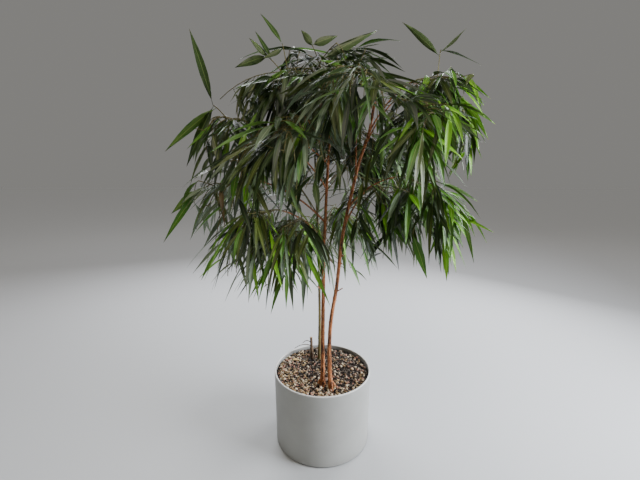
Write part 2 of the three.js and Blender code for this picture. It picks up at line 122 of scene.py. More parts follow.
# A mesh from points in millimetres, quads and triangles, with one material number for each face.
def makePiece(name, points, quads, tris, materials, faceMaterials=None, uv=None):
    mesh = bpy.data.meshes.new(name)
    mesh.vertices.add(len(points))
    mesh.vertices.foreach_set("co", (np.asarray(points) * mm).astype(np.float32).ravel())
    corners = np.concatenate([np.ravel(quads), np.ravel(tris)]).astype(np.int32)
    mesh.loops.add(len(corners))
    mesh.loops.foreach_set("vertex_index", corners)
    starts = np.concatenate([np.arange(len(quads)) * 4, len(quads) * 4 + np.arange(len(tris)) * 3])
    mesh.polygons.add(len(starts))
    mesh.polygons.foreach_set("loop_start", starts.astype(np.int32))
    mesh.update(calc_edges=True)
    mesh.polygons.foreach_set("use_smooth", np.ones(len(starts), bool))
    for material in materials:
        mesh.materials.append(material)
    if faceMaterials is not None:
        mesh.polygons.foreach_set("material_index", np.asarray(faceMaterials, np.int32))
    if uv is not None:
        layer = mesh.uv_layers.new(name="along")
        layer.data.foreach_set("uv", np.asarray(uv, np.float32).ravel())
    mesh.validate()
    piece = bpy.data.objects.new(name, mesh)
    bpy.context.scene.collection.objects.link(piece)
    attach(piece, "root")
    return piece


# Faces of many tubes of the same make: quads between rings, and a fan from each end's centre point.
# Each tube has its rings first, then its foot centre and its tip centre.
def tubeFaces(tubes, rings, sides):
    ring, side = np.meshgrid(np.arange(rings - 1), np.arange(sides), indexing="ij")
    after = (side + 1) % sides
    low, high = ring * sides, (ring + 1) * sides
    quads = np.stack([low + side, low + after, high + after, high + side], -1).reshape(-1, 4)
    edge = np.arange(sides)
    nextEdge = (edge + 1) % sides
    top = (rings - 1) * sides
    foot, tip = rings * sides, rings * sides + 1
    footFan = np.stack([nextEdge, edge, np.full(sides, foot)], -1)
    tipFan = np.stack([top + edge, top + nextEdge, np.full(sides, tip)], -1)
    tris = np.concatenate([footFan, tipFan])
    step = (np.arange(tubes) * (rings * sides + 2))[:, None, None]
    return (quads[None] + step).reshape(-1, 4), (tris[None] + step).reshape(-1, 3)


# The number of each of many bodies of the same make, once for each of its faces.
def forFaces(numbers, quads, tris):
    return np.concatenate([np.repeat(numbers, len(faces) // len(numbers)) for faces in (quads, tris)])


# The tangent of each point of a line of points, from its neighbours on both sides.
def tangents(line):
    return unit(np.gradient(line, axis=-2))


# A tube: rings of radius r(ring, side) across the path, turned so that the first side points aside.
def tubePoints(line, radii, aside):
    along = tangents(line)
    across = unit(aside - np.sum(aside * along, -1, keepdims=True) * along)
    over = np.cross(along, across)
    turn = np.linspace(0, 2 * np.pi, radii.shape[-1], endpoint=False)
    outward = across[:, None] * np.cos(turn)[:, None] + over[:, None] * np.sin(turn)[:, None]
    rings = line[:, None] + outward * radii[..., None]
    return np.concatenate([rings.reshape(-1, 3), line[:1], line[-1:]])


# Points spaced evenly along a dense line, and the line's length.
def evenly(dense, count):
    run = np.concatenate([[0], np.cumsum(np.linalg.norm(np.diff(dense, axis=0), axis=1))])
    at = np.linspace(0, run[-1], count)
    return np.stack([np.interp(at, run, dense[:, k]) for k in range(3)], -1), run[-1]


# The point of an even line that lies nearest to a share of its length.
def placeOn(line, share):
    return line[round(share * (len(line) - 1))]


# A quadratic curve from a to c that leaves towards b, as a dense line.
def bend(a, b, c):
    t = np.linspace(0, 1, 65)[:, None]
    return a * (1 - t) ** 2 + 2 * b * t * (1 - t) + c * t ** 2


# A smooth curve through all bends: between two of them a cubic whose slopes come from the
# neighbours, weighted by the square roots of the distances.
def splineThrough(bends):
    p = np.array(bends, float)
    p = np.vstack([2 * p[0] - p[1], p, 2 * p[-1] - p[-2]])
    t = np.linspace(0, 1, 40, endpoint=False)[:, None]
    pieces = []
    for a, b, c, d in zip(p, p[1:], p[2:], p[3:]):
        ab, bc, cd = (math.sqrt(np.linalg.norm(v)) for v in (b - a, c - b, d - c))
        slopeB = ((b - a) / ab - (c - a) / (ab + bc) + (c - b) / bc) * bc
        slopeC = ((c - b) / bc - (d - b) / (bc + cd) + (d - c) / cd) * bc
        pieces.append(b + slopeB * t + (3 * (c - b) - 2 * slopeB - slopeC) * t ** 2
                      + (2 * (b - c) + slopeB + slopeC) * t ** 3)
    return np.vstack([*pieces, p[-2:-1]])


# A limb as even points with its radius as a function of the share along it. Only a bough has a
# compass direction.
def makeLimb(name, dense, radiusAt, aside, azimuth=None):
    line, length = evenly(dense, limbPoints)
    return {"name": name, "line": line, "length": length, "radiusAt": radiusAt, "aside": aside,
            "azimuth": azimuth}


# The point at a share of a limb's length, in a straight line between its even points.
def pointAt(limb, share):
    place = np.linspace(0, 1, len(limb["line"]))
    return np.array([np.interp(share, place, limb["line"][:, k]) for k in range(3)])


# The share of a limb's length at which it first reaches a height.
def shareAtHeight(limb, height):
    return float(np.argmax(limb["line"][:, 2] >= height)) / (len(limb["line"]) - 1)


# Camera and light, at the viewing angle of the picture. Here places and sizes are in metres.
cameraPlace = {"location": (-0.0127, -1.718, 1.447), "pitchDown": 12.1, "lens": 20.25, "sensor": 36,
               "farthest": 60}
cameraData = bpy.data.cameras.new("camera")
cameraData.lens = cameraPlace["lens"]
cameraData.sensor_width = cameraPlace["sensor"]
cameraData.clip_end = cameraPlace["farthest"]
camera = bpy.data.objects.new("camera", cameraData)
camera.location = cameraPlace["location"]
camera.rotation_euler = (math.radians(90 - cameraPlace["pitchDown"]), 0, 0)
bpy.context.scene.collection.objects.link(camera)
bpy.context.scene.camera = camera

# Soft boxes: two windows to the right, two behind, and one under the ceiling, each turned towards a
# height on the planter's axis.
lightRows = {
    "windowRight": {"place": (2.5, -0.7, 1.9), "aim": 1.3, "size": 1.5, "power": 152,
                    "colour": "#f2f6ff"},
    "windowLow": {"place": (3.6, -1.5, 1.0), "aim": 0.2, "size": 1.6, "power": 112,
                  "colour": "#eef4ff"},
    "windowBack": {"place": (-0.9, 2.5, 2.8), "aim": 1.3, "size": 2.2, "power": 150,
                   "colour": "#f6f8ff"},
    "windowBackRight": {"place": (2.1, 2.1, 2.0), "aim": 1.3, "size": 1.6, "power": 95,
                        "colour": "#f6f8ff"},
    "ceiling": {"place": (-0.3, -1.3, 3.7), "aim": 1.1, "size": 2.0, "power": 50,
                "colour": "#fff3e2"},
}
for name, row in lightRows.items():
    lamp = bpy.data.lights.new(name, "AREA")
    lamp.energy = row["power"]
    lamp.size = row["size"]
    lamp.color = linear(row["colour"])[:3]
    light = bpy.data.objects.new(name, lamp)
    light.location = row["place"]
    way = Vector((0, 0, row["aim"])) - light.location
    light.rotation_euler = way.to_track_quat("-Z", "Y").to_euler()
    light.visible_camera = False
    bpy.context.scene.collection.objects.link(light)

surround = {"colour": "#eeece7", "strength": 0.26}
world = bpy.data.worlds.new("studio")
bpy.context.scene.world = world
world.use_nodes = True
background = world.node_tree.nodes["Background"]
background.inputs["Color"].default_value = linear(surround["colour"])
background.inputs["Strength"].default_value = surround["strength"]

# Painted studio floor: pale and dull, grey round the planter and painted lighter far from it, as
# painted light that fades the floor into the bright surround.
floorShape = {"half": 20, "greyTo": 0.8, "whiteFrom": 7.0}
floorMaterial, tree, shader, place = startMaterial("paintedFloor", {"Roughness": 0.8})
distance = addNode(tree, "ShaderNodeVectorMath", {"operation": "LENGTH"}, {0: place})
paintedFadeShare = addNode(tree, "ShaderNodeMapRange", smooth,
                  {"Value": distance.outputs["Value"], "From Min": floorShape["greyTo"],
                   "From Max": floorShape["whiteFrom"]})
floorToneAndPaintedFade = addNode(tree, "ShaderNodeValToRGB", {"stops": [(0.0, "#b6b8b8"), (1.0, "#ffffff")]},
                    {"Fac": paintedFadeShare.outputs["Result"]})
tree.links.new(floorToneAndPaintedFade.outputs["Color"], shader.inputs["Base Color"])
half = floorShape["half"]
floorCorners = [(-half, -half, 0), (half, -half, 0), (half, half, 0), (-half, half, 0)]
floorMesh = bpy.data.meshes.new("floor")
floorMesh.from_pydata(floorCorners, [], [(0, 1, 2, 3)])
floorMesh.materials.append(floorMaterial)
floor = bpy.data.objects.new("floor", floorMesh)
bpy.context.scene.collection.objects.link(floor)
print("camera, light and floor ready")


# The planter. Here and below, sizes are in millimetres. Its lowest rings, the foot and the underside,
# are near black as painted shade in the gap at the floor.
potShape = {"radius": 250, "height": 392, "wall": 8, "floor": 16, "draft": 3, "footRadius": 236,
            "footHeight": 5, "footRound": 1, "baseRound": 3, "rimRound": 3.4, "rimBand": 8,
            "wallFoot": 18, "middleRing": 120, "footRings": 9, "sides": 144}


# A quarter or so of a circle in the profile plane, by its centre, radius and two angles in degrees.
def arc(centreRadius, centreHeight, radius, startAngle, endAngle, count=6):
    turn = np.radians(np.linspace(startAngle, endAngle, count))
    return np.stack([centreRadius + radius * np.cos(turn), centreHeight + radius * np.sin(turn)], -1)


# A turned body: the profile of radius and height carried round the axis, with its end points on the
# axis. Its lowest rings may be of the second material.
def turnedPiece(name, profile, sides, materials, footRings=0):
    turn = np.linspace(0, 2 * np.pi, sides, endpoint=False)
    ringPoints = np.stack([profile[1:-1, None, 0] * np.cos(turn), profile[1:-1, None, 0] * np.sin(turn),
                           np.repeat(profile[1:-1, None, 1], sides, 1)], -1)
    ends = np.array([[0, 0, profile[0, 1]], [0, 0, profile[-1, 1]]])
    points = np.concatenate([ringPoints.reshape(-1, 3), ends])
    quads, tris = tubeFaces(1, len(profile) - 2, sides)
    kinds = np.concatenate([np.arange(len(quads)) < footRings * sides, np.arange(len(tris)) < sides])
    return makePiece(name, points, quads, tris, materials, kinds.astype(int))


# The profile goes from the axis out under the floor, round the foot and the base, up the wall, which
# widens evenly, over the rim in two arcs, and down the inner wall and in to the axis.
def potProfile(shape):
    top, floorTop, middle = shape["height"], shape["floor"], shape["middleRing"]
    outer, inner, low = (shape["radius"] - less for less in (0, shape["wall"], shape["draft"]))
    foot, footTop, footRound = shape["footRadius"], shape["footHeight"], shape["footRound"]
    base, edge = shape["baseRound"], shape["rimRound"]
    heights = np.linspace(shape["wallFoot"], top - shape["rimBand"], 14)
    wall = np.stack([low + shape["draft"] * heights / top, heights], -1)
    inside = np.linspace(top - shape["rimBand"], floorTop + 4, 12)
    innerWall = np.stack([inner - shape["draft"] * (1 - inside / top), inside], -1)
    return np.concatenate([
        [[0, 0], [middle, 0], [foot - 3, 0]],
        arc(foot - footRound, footRound, footRound, -90, 0, 4),
        [[foot, footTop - 0.5], [foot + 1, footTop]],
        arc(low - base, footTop + base, base, -90, 0, 6),
        wall,
        arc(outer - edge, top - edge, edge, 0, 90, 7),
        arc(inner + edge, top - edge, edge, 90, 180, 7),
        innerWall,
        [[inner - shape["draft"] - 4, floorTop], [middle, floorTop], [0, floorTop]],
    ])


# Glass-fibre planter, moulded and sprayed with satin light grey paint: an even grey with a faint
# orange-peel skin, darker above the foot as a little dust and painted shade, and a rim painted paler
# as rubbed wear and a painted highlight.
potMaterial, tree, shader, place = startMaterial("sprayedGlassFibre", {"Roughness": 0.5, "IOR": 1.48})
cloud = addNode(tree, "ShaderNodeTexNoise", inputs={"Vector": place, "Scale": 4.0, "Detail": 4.0,
                                                    "Roughness": 0.6})
paint = addNode(tree, "ShaderNodeValToRGB", {"stops": [(0.3, "#979792"), (0.7, "#a3a39e")]},
                {"Fac": cloud.outputs["Fac"]})
heightOf = addNode(tree, "ShaderNodeSeparateXYZ", inputs={"Vector": place})
# Darker over the lowest 70 mm: a little dust and painted shade at the foot.
dustAndShadeHeight = addNode(tree, "ShaderNodeMapRange", smooth,
                     {"Value": heightOf.outputs["Z"], "From Min": 0.0, "From Max": 0.07,
                      "To Min": 0.35, "To Max": 0.0})  # thins out over 70 mm
dustAndPaintedShade = addNode(tree, "ShaderNodeMix", colourMix,
               {0: dustAndShadeHeight.outputs["Result"], 6: paint.outputs["Color"], 7: linear("#8b8a84")})
# Paler in the top 6 mm: rubbed wear and a painted highlight along the rim.
rimWearAndHighlightHeight = addNode(tree, "ShaderNodeMapRange", smooth,
                    {"Value": heightOf.outputs["Z"], "From Min": 0.386, "From Max": 0.39,
                     "To Min": 0.0, "To Max": 0.8})  # sets in 6 mm under the top
rimWornAndHighlighted = addNode(tree, "ShaderNodeMix", colourMix,
                 {0: rimWearAndHighlightHeight.outputs["Result"], 6: dustAndPaintedShade.outputs[2], 7: linear("#d9d8d2")})
tree.links.new(rimWornAndHighlighted.outputs[2], shader.inputs["Base Color"])
peel = addNode(tree, "ShaderNodeTexNoise", inputs={"Vector": place, "Scale": 260.0,
                                                   "Detail": 1.0})  # 4 mm dimples
peelBump = addNode(tree, "ShaderNodeBump", inputs={"Height": peel.outputs["Fac"], "Strength": 0.06,
                                                   "Distance": 0.0005})
tree.links.new(peelBump.outputs["Normal"], shader.inputs["Normal"])
smudge = addNode(tree, "ShaderNodeMapRange", inputs={"Value": cloud.outputs["Fac"], "To Min": 0.42,
                                                     "To Max": 0.58})
tree.links.new(smudge.outputs["Result"], shader.inputs["Roughness"])

# Painted shade under the planter: the foot and the underside in a dull, nearly black material with
# faint random tone, so that the gap at the floor stays dark.
footShadeMaterial, tree, shader, place = startMaterial("nearBlackPaintedShadeFoot", {"Roughness": 0.9})
footShadeNoise = addNode(tree, "ShaderNodeTexNoise", inputs={"Vector": place, "Scale": 60.0, "Detail": 3.0})
footShadeTone = addNode(tree, "ShaderNodeValToRGB", {"stops": [(0.35, "#0b0b0b"), (0.75, "#1a1918")]},
                   {"Fac": footShadeNoise.outputs["Fac"]})
tree.links.new(footShadeTone.outputs["Color"], shader.inputs["Base Color"])

planterShell = turnedPiece("planter_shell", potProfile(potShape), potShape["sides"],
                           [potMaterial, footShadeMaterial], potShape["footRings"])
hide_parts("pot")
print("planter made")


# Potting mix, carried over from the frame: bark and peat, dark and crumbly.
soilMaterial, tree, shader, place = startMaterial("barkAndPeatMix", {"Roughness": 0.95})
crumb = addNode(tree, "ShaderNodeTexVoronoi", inputs={"Vector": place, "Scale": 160.0})  # 6 mm crumbs
soilTone = addNode(tree, "ShaderNodeValToRGB", {"stops": [(0.1, "#1c140e"), (0.8, "#45352a")]},
                   {"Fac": crumb.outputs["Distance"]})
tree.links.new(soilTone.outputs["Color"], shader.inputs["Base Color"])
soilBump = addNode(tree, "ShaderNodeBump", inputs={"Height": crumb.outputs["Distance"], "Strength": 0.6,
                                                   "Distance": 0.003})
tree.links.new(soilBump.outputs["Normal"], shader.inputs["Normal"])
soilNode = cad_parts["potting_soil"]
soilNode.data.materials.clear()
soilNode.data.materials.append(soilMaterial)


# Gravel: a bed of grit, near black as its own dark and as painted shade in the gaps between the
# pebbles, and loose pebbles on it, from which they stand out by their lift.
gravelShape = {"bedRadius": 241, "bedBottom": 345.6, "bedTop": 369, "bedRings": 26, "bedSides": 96,
               "swell": 1.2, "ripple": 0.8, "columns": 21, "rows": 25, "spacing": 12.5,
               "rowPitch": 0.866, "shift": 3.6, "edge": 8, "lift": (-4, 2.5), "extra": 620,
               "extraEdge": 10, "extraLift": (3, 8), "stemGap": 15, "shortest": 8, "longest": 17,
               "narrow": (0.62, 0.92), "flatten": (0.45, 0.75), "lump": 0.13, "tip": 0.35,
               "rings": 4, "sides": 7, "seed": 7}
random = np.random.default_rng(gravelShape["seed"])


# Stone: speckles of two tones over a body colour, dull where dry.
def stoneMaterial(name, dark, light, fleck):
    material, tree, shader, place = startMaterial(name, {"Roughness": 0.75, "Specular IOR Level": 0.25})
    body = addNode(tree, "ShaderNodeTexNoise", inputs={"Vector": place, "Scale": 55.0,
                                                       "Detail": 3.0})  # tone from stone to stone
    tone = addNode(tree, "ShaderNodeValToRGB", {"stops": [(0.34, dark), (0.66, light)]},
                   {"Fac": body.outputs["Fac"]})
    speck = addNode(tree, "ShaderNodeTexNoise", inputs={"Vector": place, "Scale": 420.0,
                                                        "Detail": 2.0})  # 2 mm flecks
    edge = addNode(tree, "ShaderNodeMapRange", inputs={"Value": speck.outputs["Fac"], "From Min": 0.54,
                                                       "From Max": 0.66, "To Max": 0.55})
    flecked = addNode(tree, "ShaderNodeMix", colourMix,
                      {0: edge.outputs["Result"], 6: tone.outputs["Color"], 7: linear(fleck)})
    tree.links.new(flecked.outputs[2], shader.inputs["Base Color"])
    grain = addNode(tree, "ShaderNodeBump", inputs={"Height": speck.outputs["Fac"], "Strength": 0.35,
                                                    "Distance": 0.0008})
    tree.links.new(grain.outputs["Normal"], shader.inputs["Normal"])
    return material


stones = [
    stoneMaterial("creamQuartzPebble", "#a18d6e", "#d8c8aa", "#efe5d0"),
    stoneMaterial("tanFlintPebble", "#6f583a", "#b1946c", "#4a3724"),
    stoneMaterial("pinkGranitePebble", "#7a5443", "#a87f69", "#cfb09c"),
    stoneMaterial("greyBasaltPebble", "#443b32", "#786c5e", "#a2978a"),
    stoneMaterial("darkSlatePebble", "#19120d", "#33281f", "#5a4d40"),
]
# The bed's near black is partly the grit's own colour and partly painted shade between the stones.
gritAndGapShadeMaterial = stoneMaterial("darkGritAndGapShade", "#0c0806", "#1c1510", "#33281f")

# The bed is a low closed disc whose top is uneven by two crossed waves.
bedRadius = np.linspace(10, gravelShape["bedRadius"], gravelShape["bedRings"])
bedTurn = np.linspace(0, 2 * np.pi, gravelShape["bedSides"], endpoint=False)
bedX, bedY = bedRadius[:, None] * np.cos(bedTurn), bedRadius[:, None] * np.sin(bedTurn)
swell = gravelShape["swell"] * np.sin(bedX / 9) * np.sin(bedY / 8)
ripple = gravelShape["ripple"] * np.sin(bedX / 5 + bedY / 6)
bedTop = np.stack([bedX, bedY, gravelShape["bedTop"] + swell + ripple], -1)[::-1]
bedFoot = np.stack([bedX[-1], bedY[-1], np.full(len(bedTurn), gravelShape["bedBottom"])], -1)
bedCentres = [[0, 0, gravelShape["bedBottom"]], [0, 0, gravelShape["bedTop"]]]
bedPoints = np.concatenate([bedFoot, bedTop.reshape(-1, 3), bedCentres])
bedQuads, bedTris = tubeFaces(1, gravelShape["bedRings"] + 1, gravelShape["bedSides"])
gravelBed = makePiece("gravel_bed", bedPoints, bedQuads, bedTris, [gritAndGapShadeMaterial])
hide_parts("gravel_layer")

# Pebble places: a staggered grid, each shifted at random, and more at random on top of it, none of
# them in the foot of a stem or of the dead stump.
spacing, shift = gravelShape["spacing"], gravelShape["shift"]
columns = np.arange(-gravelShape["columns"], gravelShape["columns"] + 1) * spacing
rows = np.arange(-gravelShape["rows"], gravelShape["rows"] + 1) * spacing * gravelShape["rowPitch"]
gridX, gridY = np.meshgrid(columns, rows)
gridX = gridX + (np.arange(len(rows)) % 2)[:, None] * spacing / 2
layer = np.stack([gridX.ravel(), gridY.ravel()], -1) + random.uniform(-shift, shift, (gridX.size, 2))
layer = layer[np.linalg.norm(layer, axis=1) < gravelShape["bedRadius"] - gravelShape["edge"]]
angle = random.uniform(0, 2 * np.pi, gravelShape["extra"])
reach = gravelShape["bedRadius"] - gravelShape["extraEdge"]
spread = reach * np.sqrt(random.uniform(0, 1, gravelShape["extra"]))
extra = np.stack([spread * np.cos(angle), spread * np.sin(angle)], -1)
flat = np.concatenate([layer, extra])
lift = np.concatenate([random.uniform(*gravelShape["lift"], len(layer)),
                       random.uniform(*gravelShape["extraLift"], len(extra))])
stemFeet = np.array([[0, -118], [40, -147], [-16, 120], [-58, 121]])  # left, right, back, dead
free = np.linalg.norm(flat[:, None] - stemFeet[None], axis=-1).min(1) > gravelShape["stemGap"]
flat, lift = flat[free], lift[free]
count = len(flat)

# A pebble is a ball of unequal half axes with a lump or two, tipped and turned at random.
half = 0.5 * mix(gravelShape["shortest"], gravelShape["longest"], random.uniform(0, 1, count) ** 1.4)
narrow = random.uniform(*gravelShape["narrow"], count)
flatten = random.uniform(*gravelShape["flatten"], count)
axes = np.stack([half, half * narrow, half * flatten], -1)
polar = np.pi * (np.arange(gravelShape["rings"]) + 1) / (gravelShape["rings"] + 1)
turn = np.linspace(0, 2 * np.pi, gravelShape["sides"], endpoint=False)
ball = np.stack([np.sin(polar)[:, None] * np.cos(turn), np.sin(polar)[:, None] * np.sin(turn),
                 np.repeat(-np.cos(polar)[:, None], len(turn), 1)], -1).reshape(-1, 3)
ball = np.concatenate([ball, [[0, 0, -1], [0, 0, 1]]])
waves = np.sin(ball @ random.normal(0, 2.2, (3, count)) + random.uniform(0, 6, count))
local = ball[None] * (1 + gravelShape["lump"] * waves).T[..., None] * axes[:, None]
yaw, tip = random.uniform(0, 2 * np.pi, count), random.normal(0, gravelShape["tip"], count)
cy, sy, ct, st = np.cos(yaw), np.sin(yaw), np.cos(tip), np.sin(tip)
zero, one = np.zeros(count), np.ones(count)
turnZ = np.stack([np.stack([cy, -sy, zero], -1), np.stack([sy, cy, zero], -1),
                  np.stack([zero, zero, one], -1)], 1)
turnX = np.stack([np.stack([one, zero, zero], -1), np.stack([zero, ct, -st], -1),
                  np.stack([zero, st, ct], -1)], 1)
centres = np.column_stack([flat, gravelShape["bedTop"] + lift + axes[:, 2] * 0.6])
pebblePoints = np.einsum("nij,nkj->nki", turnZ @ turnX, local) + centres[:, None]
quads, tris = tubeFaces(count, gravelShape["rings"], gravelShape["sides"])
# Cream and tan stones lie mostly round the edge and to the front left, grey and dark ones in the
# middle, to the right and at the back: the chance of a warm stone grows with the square of the way
# out and towards the front left. The two lists count up the shares of the stones in their order.
outward = np.linalg.norm(flat, axis=1) / gravelShape["bedRadius"]
warmChance = np.clip(0.8 * outward ** 2 - flat[:, 1] / 480 - flat[:, 0] / 480 - 0.08, 0.06, 0.92)
draw = random.uniform(0, 1, count)
warm = np.searchsorted([0.42, 0.8, 1.0], random.uniform(0, 1, count))
cold = np.searchsorted([0.05, 0.17, 0.27, 0.56, 1.0], random.uniform(0, 1, count))
kinds = forFaces(np.where(draw < warmChance, warm, cold), quads, tris)
pebbles = makePiece("gravel_pebbles", pebblePoints.reshape(-1, 3), quads, tris, stones, kinds)
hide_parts("gravel_layer")
print("gravel made:", count, "pebbles")


# Stems and boughs, on the same curves as the solids.
growth = {"gravelTop": 372, "plantedDepth": 12, "boughShare": 0.6, "boughTaper": 0.62, "boughOut": 0.45,
          "boughUp": 0.5, "flareHeight": 34, "toeHeight": 52, "toeRadius": 6.5, "toeTipRadius": 4,
          "toeBend": 0.55, "stubPitch": 35}
stemRows = [
    {"name": "stem_left", "foot": 10.5, "tip": 4.2, "flare": 7, "toes": [(-34, -6), (-6, 36), (8, -34)],
     "bends": [(0, -118, 372), (1, -115, 600), (5, -106, 1000), (14, -88, 1260), (27, -66, 1500),
               (38, -45, 1650), (26, -28, 1755), (2, -20, 1822)]},
    {"name": "stem_right", "foot": 10, "tip": 5.6, "flare": 6, "toes": [(34, 8), (10, -32)],
     "bends": [(40, -147, 372), (33, -146, 490), (37, -141, 700), (66, -131, 900), (90, -121, 1125),
               (131, -106, 1330), (163, -92, 1458), (200, -80, 1570), (226, -74, 1722)]},
    {"name": "stem_back", "foot": 8, "tip": 4, "flare": 3, "toes": [(14, 24)],
     "bends": [(-16, 120, 372), (-15, 126, 700), (-22, 142, 1050), (-34, 172, 1350), (-44, 222, 1630)]},
]
# stem, height, compass direction, length, radius
stubRows = [
    ("stem_right", 1022, 0, 19, 4.5),
    ("stem_right", 985, 20, 17, 4),
    ("stem_right", 858, -20, 40, 2.6),
    ("stem_right", 806, 35, 17, 4),
    ("stem_left", 858, 200, 36, 3),
]
# name, parent, height, compass direction, way out, way up, bow
boughRows = [
    ("top_left", "stem_left", 1640, 205, 80, 175, 20),
    ("far_left", "stem_left", 1440, 192, 300, 165, 50),
    ("left", "stem_left", 1330, 219, 240, 200, 45),
    ("left_low", "stem_left", 1180, 191, 310, 195, 60),
    ("low_left", "stem_left", 1090, 216, 220, 160, 45),
    ("low_front", "stem_left", 1060, 240, 165, 150, 25),
    ("front_left", "stem_left", 1430, 247, 210, 175, 35),
    ("front", "stem_left", 1570, 283, 170, 205, 25),
    ("right_top", "stem_right", 1575, 5, 190, 215, 60),
    ("right_outer", "bough_right_top", 1770, 8, 150, -25, 40),
    ("right_inner", "stem_right", 1480, 305, 165, 190, 35),
    ("right_low", "stem_right", 1250, 346, 205, 135, 50),
    ("right_mid", "stem_right", 1170, 30, 140, 170, 30),
    ("middle", "stem_right", 1390, 85, 170, 200, 30),
    ("back_left", "stem_back", 1180, 154, 260, 290, 40),
    ("back_right", "stem_back", 1230, 22, 320, 290, 60),
    ("back_low", "stem_back", 960, 65, 170, 220, 20),
]


# A stem follows the smooth curve through its bends, from a little below the gravel's top. Its radius
# goes evenly from foot to tip, and flares at the foot by an exponential.
def makeStem(row):
    bends = [(*row["bends"][0][:2], growth["gravelTop"] - growth["plantedDepth"])] + row["bends"][1:]
    dense = splineThrough(bends)
    length = evenly(dense, limbPoints)[1]

    def radiusAt(along):
        flare = row["flare"] * np.exp(-along * length / growth["flareHeight"])
        return mix(row["foot"], row["tip"], along) + flare

    return makeLimb(row["name"], dense, radiusAt, np.array([1.0, 0, 0]))


# A bough is a quadratic curve that bows upwards. It starts with a share of the radius that the parent
# has there, and thins evenly.
def makeBough(name, parent, at, azimuth, out, rise, bow):
    share = shareAtHeight(parent, at)
    start = pointAt(parent, share)
    away = heading(math.radians(azimuth), 0)
    middle = start + away * out * growth["boughOut"] + zAxis * (rise * growth["boughUp"] + bow)
    thick = float(parent["radiusAt"](share)) * growth["boughShare"]
    return makeLimb("bough_" + name, bend(start, middle, start + away * out + zAxis * rise),
                    lambda along: mix(thick, thick * growth["boughTaper"], along), np.cross(zAxis, away),
                    math.radians(azimuth))


limbs = {row["name"]: makeStem(row) for row in stemRows}
for name, parent, *numbers in boughRows:
    limbs["bough_" + name] = makeBough(name, limbs[parent], *numbers)


# Heights of the bark's relief as shares of the radius, and the scars' pitch and half width.
barkShape = {"ribs": (0.035, 0.025), "waves": (0.016, 0.014), "scar": 0.1, "pitch": 46, "morePitch": 22,
             "scarHalf": 2.2}


# Bark relief: the radius grows by long shallow ribs, finer crossing waves and, every so often, a thin
# raised ring where a leaf once stood. All waves fit a whole number of times round the limb.
def barkRelief(length, rings, sides, seed, strength):
    s = np.linspace(0, length, rings)[:, None]
    turn = np.linspace(0, 2 * np.pi, sides, endpoint=False)[None]
    phase = [chance(seed, k) * 6.283 for k in range(8)]
    rib, lesserRib = barkShape["ribs"]
    wave, lesserWave = barkShape["waves"]
    ribs = rib * np.sin(3 * turn + s / 60 + phase[0]) + lesserRib * np.sin(5 * turn - s / 37 + phase[1])
    waves = (wave * np.sin(7 * turn + s / 9 + phase[2])
             + lesserWave * np.sin(4 * turn - s / 6.3 + phase[3]))
    step = barkShape["pitch"] + barkShape["morePitch"] * chance(seed, 9)
    fromScar = (s + 9 * np.sin(s / 70 + phase[4])) % step - step / 2
    scar = barkShape["scar"] * np.exp(-(fromScar / barkShape["scarHalf"]) ** 2)
    return 1 + strength * (ribs + waves + scar)


# Bark: thin and smooth over pale wood, with small pale raised pores across it, darker streaks along it
# and here and there a fine black crack.
def barkMaterial(name, dark, body, light, pore, crackDepth=0.0):
    material, tree, shader, place = startMaterial(name, {"Roughness": 0.68, "Specular IOR Level": 0.35})
    stretched = addNode(tree, "ShaderNodeMapping", inputs={"Vector": place, "Scale": (1.0, 1.0, 0.16)})
    streak = addNode(tree, "ShaderNodeTexNoise",
                     inputs={"Vector": stretched.outputs["Vector"], "Scale": 180.0, "Detail": 5.0,
                             "Roughness": 0.65})
    tone = addNode(tree, "ShaderNodeValToRGB", {"stops": [(0.3, dark), (0.5, body), (0.72, light)]},
                   {"Fac": streak.outputs["Fac"]})
    squeezed = addNode(tree, "ShaderNodeMapping", inputs={"Vector": place, "Scale": (1.0, 1.0, 2.6)})
    pores = addNode(tree, "ShaderNodeTexVoronoi", inputs={"Vector": squeezed.outputs["Vector"],
                                                          "Scale": 110.0})  # pores 6 to 9 mm apart
    poreEdge = addNode(tree, "ShaderNodeMapRange", smooth,
                       {"Value": pores.outputs["Distance"], "From Min": 0.16, "From Max": 0.3,
                        "To Min": 0.75, "To Max": 0.0})
    spotted = addNode(tree, "ShaderNodeMix", colourMix,
                      {0: poreEdge.outputs["Result"], 6: tone.outputs["Color"], 7: linear(pore)})
    drawnOut = addNode(tree, "ShaderNodeMapping", inputs={"Vector": place, "Scale": (1.0, 1.0, 0.09)})
    splits = addNode(tree, "ShaderNodeTexNoise", inputs={"Vector": drawnOut.outputs["Vector"],
                                                         "Scale": 130.0, "Detail": 2.0})  # 8 by 80 mm
    crack = addNode(tree, "ShaderNodeMapRange", smooth,
                    {"Value": splits.outputs["Fac"], "From Min": 0.55, "From Max": 0.62, "To Min": 0.0,
                     "To Max": crackDepth})
    cracked = addNode(tree, "ShaderNodeMix", colourMix,
                      {0: crack.outputs["Result"], 6: spotted.outputs[2], 7: linear("#1c0e07")})
    tree.links.new(cracked.outputs[2], shader.inputs["Base Color"])
    raised = addNode(tree, "ShaderNodeMath", {"operation": "ADD"},
                     {0: streak.outputs["Fac"], 1: poreEdge.outputs["Result"]})
    relief = addNode(tree, "ShaderNodeMath", {"operation": "SUBTRACT"},
                     {0: raised.outputs["Value"], 1: crack.outputs["Result"]})
    bump = addNode(tree, "ShaderNodeBump", inputs={"Height": relief.outputs["Value"], "Strength": 0.6,
                                                   "Distance": 0.0012})
    tree.links.new(bump.outputs["Normal"], shader.inputs["Normal"])
    return material


figBark = barkMaterial("figBark", "#4c2812", "#98592e", "#c68a5e", "#d9ac84", 0.9)
youngFigBark = barkMaterial("youngFigBark", "#383018", "#63582f", "#857845", "#a3966a", 0.5)
dryBark = barkMaterial("dryDeadBark", "#2e2118", "#5f4a36", "#7f6a50", "#97866a", 0.7)
cutWood = barkMaterial("weatheredCutWood", "#7a5f3e", "#9c7d55", "#b4946a", "#a98a60")


